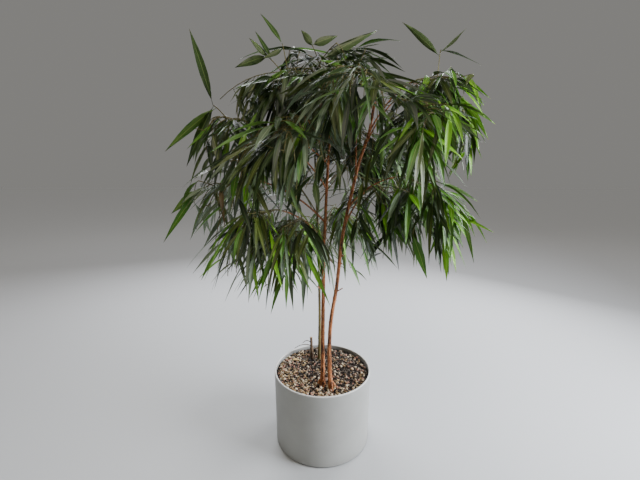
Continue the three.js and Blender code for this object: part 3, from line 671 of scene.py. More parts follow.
# One or more tubes in one piece. Each row gives its line, its ring radii and the side it starts from.
# Cut ends are of the second material.
def joinTubes(name, rows, materials, cutEnds=False):
    points, quads, tris, kinds, cutKinds = [], [], [], [], []
    for line, radii, aside in rows:
        rings, sides = radii.shape
        moreQuads, moreTris = tubeFaces(1, rings, sides)
        offset = sum(len(p) for p in points)
        points.append(tubePoints(line, radii, aside))
        quads.append(moreQuads + offset)
        tris.append(moreTris + offset)
        kinds.append(np.zeros(len(moreQuads), int))
        cutKinds.append(np.full(len(moreTris), int(cutEnds)))
    return makePiece(name, np.concatenate(points), np.concatenate(quads), np.concatenate(tris),
                     materials, np.concatenate(kinds + cutKinds))


limbSettings = {"stem": {"sides": 28, "step": 3.2, "collar": 0},
                "bough": {"sides": 18, "step": 4.5, "collar": 0.55},
                "collarReach": 14, "toeRings": 22, "toeSides": 14, "stubRings": 12, "stubSides": 12}


# A limb as a tube of its radius with relief, swollen at its foot to a collar by an exponential.
def limbTube(limb, seed, sides, step, collar):
    rings = max(12, int(limb["length"] / step))
    line, length = evenly(limb["line"], rings)
    share = np.linspace(0, 1, rings)
    swelling = collar * np.exp(-share * length / limbSettings["collarReach"])
    radius = limb["radiusAt"](share) * (1 + swelling)
    return line, radius[:, None] * barkRelief(length, rings, sides, seed, 1.0), limb["aside"]


# A root toe: a quadratic curve from the stem above the gravel, out and down into it.
def toeTube(foot, x, y, seed):
    rings, high = limbSettings["toeRings"], growth["toeHeight"]
    knee = foot + np.array([x, y, high]) * growth["toeBend"]
    end = foot + np.array([x, y, -growth["plantedDepth"] / 2])
    line, length = evenly(bend(foot + zAxis * high, knee, end), rings)
    thick = mix(growth["toeRadius"], growth["toeTipRadius"], np.linspace(0, 1, rings))
    relief = barkRelief(length, rings, limbSettings["toeSides"], seed, 1.6)
    return line, thick[:, None] * relief, np.array([y, -x, 0.1])


# A pruned stub: a short straight tube.
def stubTube(limb, height, azimuth, length, radius):
    rings, sides = limbSettings["stubRings"], limbSettings["stubSides"]
    start = pointAt(limb, shareAtHeight(limb, height))
    out = heading(math.radians(azimuth), math.radians(growth["stubPitch"]))
    line = start + out * np.linspace(0, length, rings)[:, None]
    return line, radius * barkRelief(length, rings, sides, height, 1.2), np.array([0.1, 0.2, 1.0])


toeRows = {row["name"]: row["toes"] for row in stemRows}
for seed, limb in enumerate(limbs.values()):
    isStem, onBack = limb["name"] in toeRows, "back" in limb["name"]
    rows = [limbTube(limb, seed + 1, **limbSettings["stem" if isStem else "bough"])]
    rows += [toeTube(limb["line"][0], x, y, seed + x) for x, y in toeRows.get(limb["name"], [])]
    rows += [stubTube(limb, *numbers) for stem, *numbers in stubRows if stem == limb["name"]]
    barks = [youngFigBark if onBack else figBark, cutWood]
    piece = joinTubes("bark_" + limb["name"], rows, barks, cutEnds=isStem)
    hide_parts(limb["name"])
print("stems and boughs made:", len(limbs))

# The dead stump, and its dry side twigs that hang to the left: way across and back, and height of the
# root on the stump.
stumpShape = {"foot": (-56, 122), "top": (-62, 118), "sunk": 10, "rise": 130, "radii": (8.5, 6.5),
              "rings": 40, "sides": 20, "twigRadii": (2.4, 1.4), "twigRings": 24, "twigSides": 8}
stumpTwigRows = [(-70, -30, 60), (-95, 5, 88), (-50, 34, 105)]
stumpFoot = np.array([*stumpShape["foot"], growth["gravelTop"] - stumpShape["sunk"]], float)
stumpTop = np.array([*stumpShape["top"], growth["gravelTop"] + stumpShape["rise"]], float)
stumpHeight = stumpShape["rise"] + stumpShape["sunk"]
share = np.linspace(0, 1, stumpShape["rings"])[:, None]
relief = barkRelief(stumpHeight, stumpShape["rings"], stumpShape["sides"], 77, 2.0)
thick = mix(*stumpShape["radii"], share)
rows = [(mix(stumpFoot, stumpTop, share), thick * relief, np.array([1.0, 0, 0]))]
thin = mix(*stumpShape["twigRadii"], np.linspace(0, 1, stumpShape["twigRings"])[:, None])
for x, y, height in stumpTwigRows:
    start = mix(stumpFoot, stumpTop, height / stumpHeight)
    knee, end = start + np.array([x * 0.5, y * 0.5, 22]), start + np.array([x, y, -18])
    line, length = evenly(bend(start, knee, end), stumpShape["twigRings"])
    relief = barkRelief(length, stumpShape["twigRings"], stumpShape["twigSides"], x, 2.0)
    rows.append((line, thin * relief, np.array([y, -x, 0.0])))
stump = joinTubes("bark_dead_stub", rows, [dryBark, cutWood], cutEnds=True)
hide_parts("dead_stub")


# Foliage, by the same rule as the solids and carried on to finer twigs.
foliage = {"goldenAngle": math.radians(137.508), "twigRadius": 2.6, "twigTipRadius": 1.9,
           "leafLength": 235, "leafWidth": 36, "widest": 0.42, "leafRootDepth": 1.2,
           "steepestHang": 1.1, "levelSpine": 0.9, "heartShare": 0.6, "heartDrop": 90,
           "roomHeight": 1.2, "spaceMargin": 2, "twigGap": 4, "clearance": 11, "shootTries": 8,
           "leafTries": 14, "sprayFoot": 0.98}
# The finer growth interlaces: margins below zero let it reach so far into the spaces next to its own,
# and pastBox past the box of the solids. Its leaves end no lower than below under the mass's lowest
# coarse tip, or no lower than that tip in the lowest masses, and underTop or more under the highest
# one. The side twigs draw their reach and drop from two ranges.
finer = {"shootLeaves": 4, "sideTwigs": 3, "sideLeaves": 4, "limbTwigs": 8, "limbLeaves": 4,
         "clearance": 6, "room": 1.12, "tipRoom": 1.25, "twigMargin": -45, "bladeMargin": -70,
         "tipMargin": -150, "pastBox": 20, "below": 90, "underTop": 30, "gapShare": 0.4,
         "sideReach": (35, 85), "sideDrop": (-20, 210), "archFoot": 0.6, "archHang": 0.8,
         "stemFrom": 0.62, "boughFrom": 0.3, "limbTo": 0.97}
# One row for each mass. upShare is the share of upright leaves, and droop is how far the spine's end
# sinks, as a share of its length. The last two are for the finer growth alone: its share of the room,
# and a factor for the number of leaves on its twigs.
foliageFacts = ("name", "on", "shootCount", "leafCount", "reach", "upShare", "hang", "spineLength",
                "droop", "room", "fineRoom", "leafy")
foliageRows = [
    ("crown_top", "stem_left", 7, 5, 190, 0.25, 0.35, 70, 0, 300, 1, 1.5),
    ("top_left", "bough_top_left", 7, 5, 105, 0, 0.6, 130, 0.4, 235, 1, 1.25),
    ("far_left", "bough_far_left", 6, 5, 85, 0.03, 0.6, 150, -0.15, 250, 0.78, 0.75),
    ("left", "bough_left", 7, 6, 110, 0, 0.6, 150, 0.3, 250, 1, 0.6),
    ("left_low", "bough_left_low", 7, 4, 100, 0, 0.6, 150, 0.3, 260, 0.82, 0.6),
    ("low_left", "bough_low_left", 7, 5, 105, 0, 0.7, 140, 0.15, 250, 1, 1),
    ("low_front", "bough_low_front", 7, 5, 95, 0, 0.9, 120, 0.1, 225, 1, 1),
    ("front_left", "bough_front_left", 7, 6, 130, 0, 0.7, 160, 0.35, 270, 1, 1),
    ("front", "bough_front", 8, 6, 140, 0, 0.6, 180, 0.35, 270, 1, 1),
    ("right_top", "bough_right_top", 7, 6, 105, 0.06, 0.55, 115, 0.05, 220, 0.85, 1.75),
    ("right_outer", "bough_right_outer", 7, 5, 90, 0, 1, 85, 0.7, 215, 0.82, 1),
    ("right_inner", "bough_right_inner", 7, 5, 130, 0, 0.7, 150, 0.35, 270, 1, 1),
    ("right_low", "bough_right_low", 7, 4, 120, 0, 0.75, 140, 0.45, 270, 0.88, 1.5),
    ("right_mid", "bough_right_mid", 5, 4, 110, 0, 0.75, 110, 0.4, 220, 1, 1.5),
    ("middle", "bough_middle", 5, 5, 130, 0, 0.6, 110, 0.1, 240, 1, 1.5),
    ("back_left", "bough_back_left", 7, 4, 160, 0.05, 0.6, 180, 0.2, 320, 1, 0.6),
    ("back", "stem_back", 7, 4, 190, 0.1, 0.5, 90, 0, 320, 1, 1),
    ("back_right", "bough_back_right", 7, 4, 150, 0.05, 0.6, 180, 0.2, 320, 1, 1),
    ("back_low", "bough_back_low", 6, 4, 150, 0, 0.75, 130, 0.3, 280, 1, 1),
]
# The sprays that stand out of the crown: mass, end of the twig, and for each leaf its share along the
# twig, the place of its tip, its extra roll and its number in the list of leaf materials, a darker tone
# where the leaf stands in shade and a brighter one where light falls on it, as painted shade and light.
sprayRows = [
    ("far_left", (-454, -150, 1680),
     [(1, -526, -165, 1963, 0, 1), (0.75, -650, -200, 1490, 0, 3), (0.95, -565, -200, 1430, 0, 1)]),
    ("top_left", (-168, -85, 1928), [(1, -261, -60, 2054, 1.15, 1), (0.9, -255, -90, 1871, 0.9, 1)]),
    ("top_left", (-232, -75, 1883),
     [(0.85, -285, -60, 1987, 1.15, 1), (0.95, -304, -100, 1948, 0.9, 1), (1, -372, -85, 1838, 0, 1)]),
    ("crown_top", (-5, -130, 1857), [(1, 215, -135, 1962, -0.6, 1)]),
    ("crown_top", (-46, -60, 1933), [(1, 63, -60, 1968, -0.6, 1), (0.9, -93, -50, 1994, 0, 1)]),
    ("right_top", (497, -60, 1914),
     [(0.8, 329, -60, 2021, 0, 1), (0.9, 595, -80, 1992, -1.0, 1), (1, 664, -100, 1842, 1.2, 1)]),
    ("right_outer", (623, -20, 1737), [(0.9, 741, -50, 1547, 0, 4), (1, 730, 0, 1480, 0, 4)]),
    ("left_low", (-536, -150, 1332), [(0.95, -658, -170, 1230, 0, 3), (1, -690, -200, 1108, 0, 3)]),
    ("low_front", (-72, -330, 1101), [(0.9, 30, -360, 880, 0, 4), (1, -81, -370, 860, 0, 6)]),
    ("right_low", (380, -220, 1150), [(1, 445, -250, 960, 0, 3)]),
]
# Twigs that arch over the gaps between masses: mass, bend, end, leaves.
archRows = [
    ("top_left", (-290, -130, 1835), (-420, -165, 1700), 18),
    ("top_left", (-250, -60, 1840), (-340, -20, 1730), 12),
    ("far_left", (-380, -110, 1690), (-330, -90, 1740), 8),
    ("middle", (60, 100, 1420), (-50, 90, 1290), 12),
    ("middle", (90, 130, 1340), (40, 140, 1270), 10),
    ("middle", (140, 60, 1390), (150, 20, 1260), 10),
    ("low_front", (-60, -260, 1260), (-10, -230, 1190), 12),
    ("back", (-60, 190, 1500), (-90, 120, 1330), 12),
]
# Real blades are slimmer than the solids' kites, by these shares of their width. The leaves of the
# sprays stand free and are the widest.
leafSlim = {"coarse": 0.74, "fine": 0.6, "spray": 0.98}


# What leaves keep out of, so that the crown is as open as it is: the lines of sight to the front stems
# (stem, lowest and highest point, half width), and gaps right through the crown, given by their place
# across and up at the front stems' depth and their half width. The last dictionary says how far past
# the point that it aims at each kind of line starts and ends.
viewer = np.array([-13, -1718, 1447])
openRows = [("stem_right", 930, 1690, 9), ("stem_left", 1130, 1480, 6)]
gapDepth = -110
gapRows = [
    (-43, 1446, 24), (44, 1425, 24), (102, 1399, 18), (59, 1285, 22), (131, 1231, 20),
    (224, 1262, 18), (302, 1329, 14), (164, 1738, 15), (275, 1690, 22), (322, 1670, 14),
    (165, 1060, 32), (280, 990, 24), (-75, 1329, 14), (-234, 1634, 10),
]
sights = {"step": 40, "stem": (-420, -60), "stemPitch": 50, "gap": (-420, 620), "leaf": (-320, -25),
          "leafHalf": 9, "leafShares": (-0.4, -0.1, 0.2, 0.5, 0.8)}


# Balls along the line of sight through a point, from near to far past it. Below zero is before it.
def sightLine(point, near, far, half):
    steps = np.arange(near, far + 1, sights["step"])[:, None]
    return point + unit(point - viewer) * steps, np.full(len(steps), float(half))


# All balls of the front stems' and the gaps' lines of sight, with the gaps at a share of their width.
def openBalls(gapShare):
    rows = [sightLine(pointAt(limbs[name], shareAtHeight(limbs[name], height)), *sights["stem"], half)
            for name, low, high, half in openRows for height in range(low, high, sights["stemPitch"])]
    rows += [sightLine(np.array([x, gapDepth, z], float), *sights["gap"], half * gapShare)
             for x, z, half in gapRows]
    return np.concatenate([row[0] for row in rows]), np.concatenate([row[1] for row in rows])


# A line of points as balls about 10 mm apart, with the radius there.
def asBalls(dense, radiusAt):
    samples = int(math.ceil(evenly(dense, 2)[1] / 10)) + 1
    return evenly(dense, samples)[0], radiusAt(np.linspace(0, 1, samples))


# True if every ball is further than a half width from the straight line between two points.
def clearOf(start, end, half, balls):
    points, radii = balls
    way = end - start
    share = np.clip((points - start) @ way / (way @ way), 0, 1)
    gaps = np.linalg.norm(points - start - share[:, None] * way, axis=1)
    return bool(np.all(gaps > radii + half))


# Two sets of balls as one.
def joinBalls(some, more):
    return np.concatenate([some[0], more[0]]), np.concatenate([some[1], more[1]])


# A mass's space: every point nearer to its own heart than to any other, less the margin, and inside
# the room round its heart, an egg a little higher than wide.
def inSpace(points, mass, room, margin):
    for point in points:
        x, y, z = point - mass["heart"]
        if (x * x + y * y) / room ** 2 + z * z / (room * foliage["roomHeight"]) ** 2 > 1:
            return False
        own = x * x + y * y + z * z
        others = np.sum((mass["others"] - point) ** 2, axis=1)
        if np.any((others - own) / (2 * mass["apart"]) <= margin):
            return False
    return True


# How far the finer leaves may reach, round the box of the solids.
reachLow = np.array(cadLow) / mm - finer["pastBox"]
reachHigh = np.array(cadHigh) / mm + finer["pastBox"]


# A leaf from its root by way of its bend to its tip.
def makeLeaf(root, middle, tip, key):
    level = middle - root
    return {"root": root - unit(level) * foliage["leafRootDepth"], "middle": middle, "tip": tip,
            "turn": math.atan2(level[1], level[0]), "roll": (chance(key, 6) - 0.5) * 1.3,
            "width": foliage["leafWidth"] * mix(0.8, 1.1, chance(key, 7)), "key": key}


# A leaf on a twig points to one side and the other in turn near the twig's foot, and along it at the
# tip. Its two halves pitch down, the more the twig hangs, unless it is one of the upright ones.
def planLeaf(upShare, twig, key, root, along, number, spread):
    swing = mix(1.3, 0.1, along) * (1 if number % 2 else -1)
    turn = twig["azimuth"] + swing + (chance(key, 1) - 0.5) * spread
    flattest = 20 - 36 * min(twig["hang"], foliage["steepestHang"])
    upright = chance(key, 2) < upShare
    pitch = mix(0, 32, chance(key, 3)) if upright else mix(flattest, flattest - 52, chance(key, 3))
    lastPitch = max(pitch - mix(6, 40, chance(key, 4)), -mix(62, 86, chance(key, 15)))
    length = foliage["leafLength"] * mix(0.62, 1.12, chance(key, 5))
    middle = root + heading(turn, math.radians(pitch)) * length * foliage["widest"]
    tip = middle + heading(turn, math.radians(lastPitch)) * length * (1 - foliage["widest"])
    return makeLeaf(root, middle, tip, key)


# A twig stands if its bend and end are in its space and it is clear of all limbs.
def twigFits(mass, line, room, margin):
    origin, knee, end = line
    return (inSpace([knee, end], mass, room, margin)
            and clearOf(origin, knee, foliage["twigGap"], mass["limbBalls"])
            and clearOf(knee, end, foliage["twigGap"], mass["limbBalls"]))


# A twig's radius thins evenly from foot to tip.
def twigRadiusAt(along):
    return mix(foliage["twigRadius"], foliage["twigTipRadius"], along)


# A twig takes its place as one of a kind, and keeps later leaves away from it.
def addTwig(mass, kind, line, **facts):
    twig = {"line": bend(*line), **facts}
    mass[kind].append(twig)
    mass["taken"] = joinBalls(mass["taken"], asBalls(twig["line"], twigRadiusAt))
    return twig


# A leaf fits if its bend and tip are in its space and it is clear of all limbs. The finer ones may
# reach further, but not past the box, nor lower or higher than their mass does.
def leafFits(mass, leaf, room, fine):
    margin, tipMargin, tipRoom = foliage["spaceMargin"], foliage["spaceMargin"], room
    if fine:
        margin, tipMargin, tipRoom = finer["bladeMargin"], finer["tipMargin"], room * finer["tipRoom"]
        if (np.any(leaf["tip"] < reachLow) or np.any(leaf["tip"] > reachHigh)
                or not mass["lowest"] < leaf["tip"][2] < mass["highest"]):
            return False
    half = leaf["width"] / 2
    return (inSpace([leaf["middle"]], mass, room, margin)
            and inSpace([leaf["tip"]], mass, tipRoom, tipMargin)
            and clearOf(leaf["root"], leaf["middle"], half, mass["limbBalls"])
            and clearOf(leaf["middle"], leaf["tip"], half, mass["limbBalls"]))


# Leaves also keep a little away from the twigs and leaves that are there already.
def leafIsFree(mass, leaf, clearance):
    neck = mix(leaf["root"], leaf["middle"], 0.3)
    return (clearOf(neck, leaf["middle"], clearance, mass["taken"])
            and clearOf(leaf["middle"], leaf["tip"], clearance, mass["taken"]))


# A leaf takes its place, with the twig whose tone it shares or a tone of its own, its kind of blade,
# and the clearance that later leaves keep from it, which shrinks to nothing at its tip.
def addLeaf(mass, leaf, clearance, twigKey, kind, tone=-1):
    leaf.update(twigKey=twigKey, slim=leafSlim[kind] * mass["slim"], tone=tone)
    mass["leaves"].append(leaf)
    share = np.array([0, 0.25, 0.5, 0.75, 1])
    blade = mix(leaf["middle"], leaf["tip"], share[:, None])
    points = np.vstack([mix(leaf["root"], leaf["middle"], 0.5), blade])
    mass["taken"] = joinBalls(mass["taken"], (points, np.concatenate([[2], clearance * (1 - share)])))


# Leaves along a twig: each is tried a few times, turned more and more, and left out if none fits.
def addLeaves(mass, twig, count, firstShare, clearance, room, fine=False):
    evenLine = evenly(twig["line"], twigPoints)[0]
    for j in range(count):
        along = mix(firstShare, 0.985, j / (count - 1))
        for attempt in range(foliage["leafTries"]):
            leaf = planLeaf(mass["upShare"], twig, twig["key"] + j + attempt * 0.117,
                            placeOn(evenLine, along), along, j, 1 + attempt * 0.35)
            if leafFits(mass, leaf, room, fine) and leafIsFree(mass, leaf, clearance):
                addLeaf(mass, leaf, clearance, twig["key"], "fine" if fine else "coarse")
                break


# A shoot's direction: round a stem by the golden angle, on a bough to one side and the other in turn,
# and more along it towards its end. A shoot that doesn't fit is tried again a little further round.
def shootAzimuth(mass, i, share, key, attempt):
    if mass["azimuth"] is None:
        return i * foliage["goldenAngle"] + mass["seed"] + attempt * 0.8
    swing = (mix(1.35, 0.15, share) + attempt * 0.15) * (1 if i % 2 else -1)
    return mass["azimuth"] + swing + (chance(key, 10) - 0.5) * (0.5 + 0.3 * attempt)


# A twig from its origin by its bend, a share of its reach straight out, to its end, which hangs by a
# drop below the full reach.
def twigLine(origin, away, reach, share, drop):
    return origin, origin + away * reach * share, origin + away * reach - zAxis * drop


# Foliage as in the solids: shoots along the spine, leaves on each, and the sprays that stand out.
def growMass(mass):
    spine = evenly(mass["spine"], twigPoints)[0]
    for i in range(mass["shootCount"]):
        share = (i + 1) / mass["shootCount"]
        for attempt in range(foliage["shootTries"]):
            key = mass["seed"] * 101 + i * 13 + attempt * 0.31
            azimuth = shootAzimuth(mass, i, share, key, attempt)
            pitch = math.radians(mix(-12, 26, share) + mix(-8, 8, chance(key, 8)) + mass["upShare"] * 24)
            shrink = mix(1, 0.55, attempt / foliage["shootTries"])
            reach = mass["reach"] * mix(0.75, 1.15, chance(key, 9)) * shrink
            hang = mass["hang"] * mix(0.1, 2.2, chance(key, 14))
            origin = placeOn(spine, mix(0.1, 0.98, share))
            line = twigLine(origin, heading(azimuth, pitch), reach, 0.5, hang * reach)
            if twigFits(mass, line, mass["room"], foliage["spaceMargin"]):
                addTwig(mass, "shoots", line, key=key, azimuth=azimuth, hang=hang)
                break
    for shoot in mass["shoots"]:
        addLeaves(mass, shoot, mass["leafCount"], 0.22, foliage["clearance"], mass["room"])
    for owner, end, leaves in sprayRows:
        if owner == mass["name"]:
            growSpray(mass, placeOn(spine, foliage["sprayFoot"]), np.array(end), leaves)


# A spray: a twig that arches a little on its way, and its leaves. A leaf faces the viewer where its
# level side is square to the line of sight, and is rolled so, give or take its own roll.
def growSpray(mass, origin, end, leaves):
    knee = mix(origin, end, 0.5) + zAxis * np.linalg.norm(end - origin) * 0.12
    if not twigFits(mass, (origin, knee, end), math.inf, foliage["spaceMargin"]):
        return
    twig = addTwig(mass, "sprays", (origin, knee, end), azimuth=0, hang=0)
    evenLine = evenly(twig["line"], twigPoints)[0]
    for k, (along, *tip, extraRoll, tone) in enumerate(leaves):
        root = placeOn(evenLine, along)
        way = np.array(tip) - root
        middle = root + way * foliage["widest"] + zAxis * np.linalg.norm(way) * 0.07
        leaf = makeLeaf(root, middle, np.array(tip, float), mass["seed"] * 11 + k)
        sight = unit(middle - viewer)
        level = np.array([-math.sin(leaf["turn"]), math.cos(leaf["turn"]), 0])
        facing = math.atan(-(level @ sight) / (np.cross(unit(way), level) @ sight))
        leaf["roll"] = 0.4 * leaf["roll"] + facing + extraRoll
        if leafFits(mass, leaf, math.inf, False):
            addLeaf(mass, leaf, foliage["clearance"], mass["seed"] * 11, "spray", tone)


# Finer twigs leave each shoot to both sides in turn and hang by their own lengths, some arch over the
# gaps, and more of them leave the limb before its end, so that leaves spring at all heights. In the
# masses that bear fewer leaves, the leaves also keep further apart.
def growFiner(mass):
    limb, leafy, onStem = limbs[mass["on"]], mass["leafy"], mass["azimuth"] is None
    room = mass["room"] * finer["room"] * mass["fineRoom"]
    clearance = finer["clearance"] / min(leafy, 1) ** 2
    archFoot = placeOn(evenly(mass["spine"], twigPoints)[0], finer["archFoot"])
    for owner, knee, end, count in archRows:
        if owner == mass["name"]:
            line = (archFoot, np.array(knee, float), np.array(end, float))
            addTwig(mass, "sideTwigs", line, key=mass["seed"] * 71 + end[2], hang=finer["archHang"],
                    leaves=count, azimuth=math.atan2(end[1] - knee[1], end[0] - knee[0]))
    for shoot in mass["shoots"]:
        for n in range(finer["sideTwigs"]):
            origin = placeOn(shoot["line"], mix(0.2, 0.95, n / (finer["sideTwigs"] - 1)))
            for attempt in range(foliage["shootTries"]):
                key = shoot["key"] + 40 + n * 7.3 + attempt * 0.31
                swing = (1 if n % 2 else -1) * mix(0.6, 1.4, chance(key, 11))
                azimuth = shoot["azimuth"] + swing + attempt * 0.7
                reach = mix(*finer["sideReach"], chance(key, 12))
                shrink = mix(1, 0.4, attempt / foliage["shootTries"])
                drop = mix(*finer["sideDrop"], chance(key, 14)) * shrink
                away = heading(azimuth, math.radians(mix(0, 25, chance(key, 13))))
                line = twigLine(origin, away, reach, 0.7, drop)
                if twigFits(mass, line, room, finer["twigMargin"]):
                    addTwig(mass, "sideTwigs", line, key=key, azimuth=azimuth,
                            hang=max(drop / reach, 0.4), leaves=round(finer["sideLeaves"] * leafy))
                    break
    for shoot in mass["shoots"]:
        again = {**shoot, "key": shoot["key"] + 70}
        addLeaves(mass, again, round(finer["shootLeaves"] * leafy), 0.15, clearance, room, fine=True)
    for twig in mass["sideTwigs"]:
        addLeaves(mass, twig, twig["leaves"], 0.35, clearance, room, fine=True)
    lowest = finer["stemFrom"] if onStem else finer["boughFrom"]
    for n in range(finer["limbTwigs"]):
        along = mix(lowest, finer["limbTo"], n / (finer["limbTwigs"] - 1))
        base = n * foliage["goldenAngle"] if onStem else mass["azimuth"]
        foot = pointAt(limb, along)
        for attempt in range(foliage["shootTries"]):
            key = mass["seed"] * 57 + n * 17 + attempt * 0.31 + 900
            azimuth = base + (1 if n % 2 else -1) * mix(0.5, 1.6, chance(key, 11)) + attempt * 0.7
            reach = mass["reach"] * mix(0.6, 1.2, chance(key, 12))
            hang = mass["hang"] * mix(0.1, 2.2, chance(key, 14))
            away = heading(azimuth, math.radians(mix(-10, 35, chance(key, 13))))
            origin = foot + away * (float(limb["radiusAt"](along)) + 6)
            line = twigLine(origin, away, reach, 0.5, hang * reach)
            if twigFits(mass, line, room * finer["tipRoom"], finer["twigMargin"]):
                twig = addTwig(mass, "limbTwigs", (foot, *line[1:]), key=key, azimuth=azimuth, hang=hang)
                count = round(finer["limbLeaves"] * leafy)
                addLeaves(mass, twig, count, 0.3, clearance, room, fine=True)
                break


# Each mass has a spine that goes on from its limb's end, and a heart below the spine. The lowest
# masses have slimmer leaves.
masses = []
for seed, row in enumerate(foliageRows, 1):
    mass = {**dict(zip(foliageFacts, row)), "seed": seed, "taken": (np.zeros((0, 3)), np.zeros(0)),
            "shoots": [], "sprays": [], "sideTwigs": [], "limbTwigs": [], "leaves": []}
    limb, spineLength, share = limbs[mass["on"]], mass["spineLength"], foliage["heartShare"]
    tangent = unit(limb["line"][-1] - limb["line"][-2])
    start = limb["line"][-1] + tangent * 0.3
    middle = start + tangent * spineLength * 0.5
    onStem = limb["azimuth"] is None
    ahead = tangent if onStem else heading(limb["azimuth"], 0) * foliage["levelSpine"]
    end = start + ahead * spineLength - zAxis * mass["droop"] * spineLength
    onSpine = start * (1 - share) ** 2 + 2 * middle * share * (1 - share) + end * share ** 2
    mass.update(spine=bend(start, middle, end), heart=onSpine - zAxis * foliage["heartDrop"],
                azimuth=limb["azimuth"], radius=float(limb["radiusAt"](1.0)),
                slim=0.75 if mass["name"].startswith("low") else 1)
    masses.append(mass)
for mass in masses:
    others = [other for other in masses if other is not mass]
    mass["others"] = np.array([other["heart"] for other in others])
    mass["apart"] = np.linalg.norm(mass["others"] - mass["heart"], axis=1)


# What each mass keeps clear of: the openings, all limbs and the spines of the other masses.
def setLimbBalls(gapShare):
    shared = openBalls(gapShare)
    for limb in limbs.values():
        shared = joinBalls(shared, asBalls(limb["line"], limb["radiusAt"]))
    spines = [asBalls(mass["spine"], lambda along: mass["radius"] + 0 * along) for mass in masses]
    for mass in masses:
        mass["limbBalls"] = shared
        for other, spine in zip(masses, spines):
            if other is not mass:
                mass["limbBalls"] = joinBalls(mass["limbBalls"], spine)


setLimbBalls(1)
for mass in masses:
    growMass(mass)
    ends = [leaf["tip"][2] for leaf in mass["leaves"] if leaf["tone"] < 0]
    mass["lowest"] = min(ends) - (0 if mass["name"].startswith("low") else finer["below"])
    mass["highest"] = max(ends) - finer["underTop"]
print("foliage grown as in the solids:", sum(len(mass["leaves"]) for mass in masses), "leaves")
setLimbBalls(finer["gapShare"])
# The finer leaves don't hide the sprays from the viewer either.
sprayLeaves = [leaf for mass in masses for leaf in mass["leaves"] if leaf["tone"] >= 0]
shown = [sightLine(mix(leaf["middle"], leaf["tip"], share), *sights["leaf"], sights["leafHalf"])
         for leaf in sprayLeaves for share in sights["leafShares"]]
for mass in masses:
    mass["limbBalls"] = tuple(np.concatenate(part) for part in zip(mass["limbBalls"], *shown))
for mass in masses:
    growFiner(mass)
print("finer twigs grown:", sum(len(mass["leaves"]) for mass in masses), "leaves in all")

leafShape = {"shares": [0.0, 0.045, 0.085, 0.16, 0.28, 0.42, 0.58, 0.75, 0.9], "stalk": 0.08,
             "stalkRadius": 1.05, "fold": (0.1, 0.5), "twist": 1.1, "ripple": 0.12}
leafRings, leafSides = len(leafShape["shares"]), 6


# All blades of a list of leaves at once. The midrib is a quadratic curve from root to tip by way of the
# bend. Across it stands a flat six-sided section: two margins, two points on the blade, the groove of
# the midrib above and its keel below. The half width follows a sine of the share along the blade. The
# odds vary its twist, its fold along the midrib and the ripple of its margins.
def leafPoints(leaves):
    root, middle, tip = (np.array([leaf[k] for leaf in leaves]) for k in ("root", "middle", "tip"))
    key = np.array([leaf["key"] for leaf in leaves])
    turn = np.array([leaf["turn"] for leaf in leaves])
    roll = np.array([leaf["roll"] for leaf in leaves])
    width = np.array([leaf["width"] * leaf["slim"] for leaf in leaves])
    odds = [np.array([chance(k, kind) for k in key]) for kind in (21, 22, 23)]
    u = np.array(leafShape["shares"])
    t = u[None, :, None]
    line = root[:, None] * (1 - t) ** 2 + 2 * middle[:, None] * t * (1 - t) + tip[:, None] * t ** 2
    along = unit((middle - root)[:, None] * (1 - t) + (tip - middle)[:, None] * t)
    level = np.stack([-np.sin(turn), np.cos(turn), np.zeros(len(turn))], -1)[:, None]
    tilt = roll[:, None] + leafShape["twist"] * (odds[0][:, None] - 0.5) * (u[None] - 0.3)
    upward = np.cross(along, np.broadcast_to(level, along.shape))
    side = unit(level * np.cos(tilt)[..., None] + upward * np.sin(tilt)[..., None])
    over = np.cross(along, side)
    blade = np.clip((u - leafShape["stalk"]) / (1 - leafShape["stalk"]), 0, 1)
    breadth = np.sin(np.pi * blade ** 0.8) ** 1.1 * width[:, None] / 2
    halfWidth = np.maximum(breadth, leafShape["stalkRadius"])
    onBlade = np.clip(halfWidth / 6, 0, 1) * (blade > 0)
    fold = mix(*leafShape["fold"], odds[1])[:, None] * onBlade
    ripple = leafShape["ripple"] * np.sin(9 * u[None] + 6.283 * odds[2][:, None]) * onBlade
    across = np.array([1, 0.5, 0, -0.5, -1, 0.0])
    left, right = fold + ripple, fold - ripple
    rise = np.stack([left, left * 0.5, 0 * fold, right * 0.5, right, 0 * fold], -1)
    edge = np.zeros(len(u))
    thick = np.stack([edge, mix(1.0, 0.5, blade > 0), mix(1.05, 0.1, blade > 0),
                      mix(1.0, 0.5, blade > 0), edge, mix(-1.05, -1.1 * (1 - blade), blade > 0)], -1)
    offsets = side[:, :, None] * (halfWidth[..., None] * across)[..., None]
    offsets = offsets + over[:, :, None] * (halfWidth[..., None] * rise + thick[None])[..., None]
    rings = (line[:, :, None] + offsets).reshape(len(leaves), -1, 3)
    return np.concatenate([rings, root[:, None], tip[:, None]], axis=1).reshape(-1, 3)


# The leaf's own map: across the upper face from 0 to 0.5, across the lower one from 0.5 to 1, and
# upwards from stalk to tip.
def leafUv(count):
    across = np.array([0, 0.125, 0.25, 0.375, 0.5, 0.75, 1.0])
    u = np.array(leafShape["shares"])
    ring, side = np.meshgrid(np.arange(leafRings - 1), np.arange(leafSides), indexing="ij")
    quadU = np.stack([across[side], across[side + 1], across[side + 1], across[side]], -1)
    quadV = np.stack([u[ring], u[ring], u[ring + 1], u[ring + 1]], -1)
    quadUv = np.stack([quadU, quadV], -1).reshape(-1, 2)
    low, high = across[:-1], across[1:]
    centre = (low + high) / 2
    footUv = np.stack([np.stack([high, low, centre], -1), np.zeros((leafSides, 3))], -1)
    tipV = np.tile([u[-1], u[-1], 1.0], (leafSides, 1))
    tipUv = np.stack([np.stack([low, high, centre], -1), tipV], -1)
    triUv = np.concatenate([footUv, tipUv]).reshape(-1, 2)
    return np.concatenate([np.tile(quadUv, (count, 1)), np.tile(triUv, (count, 1))])


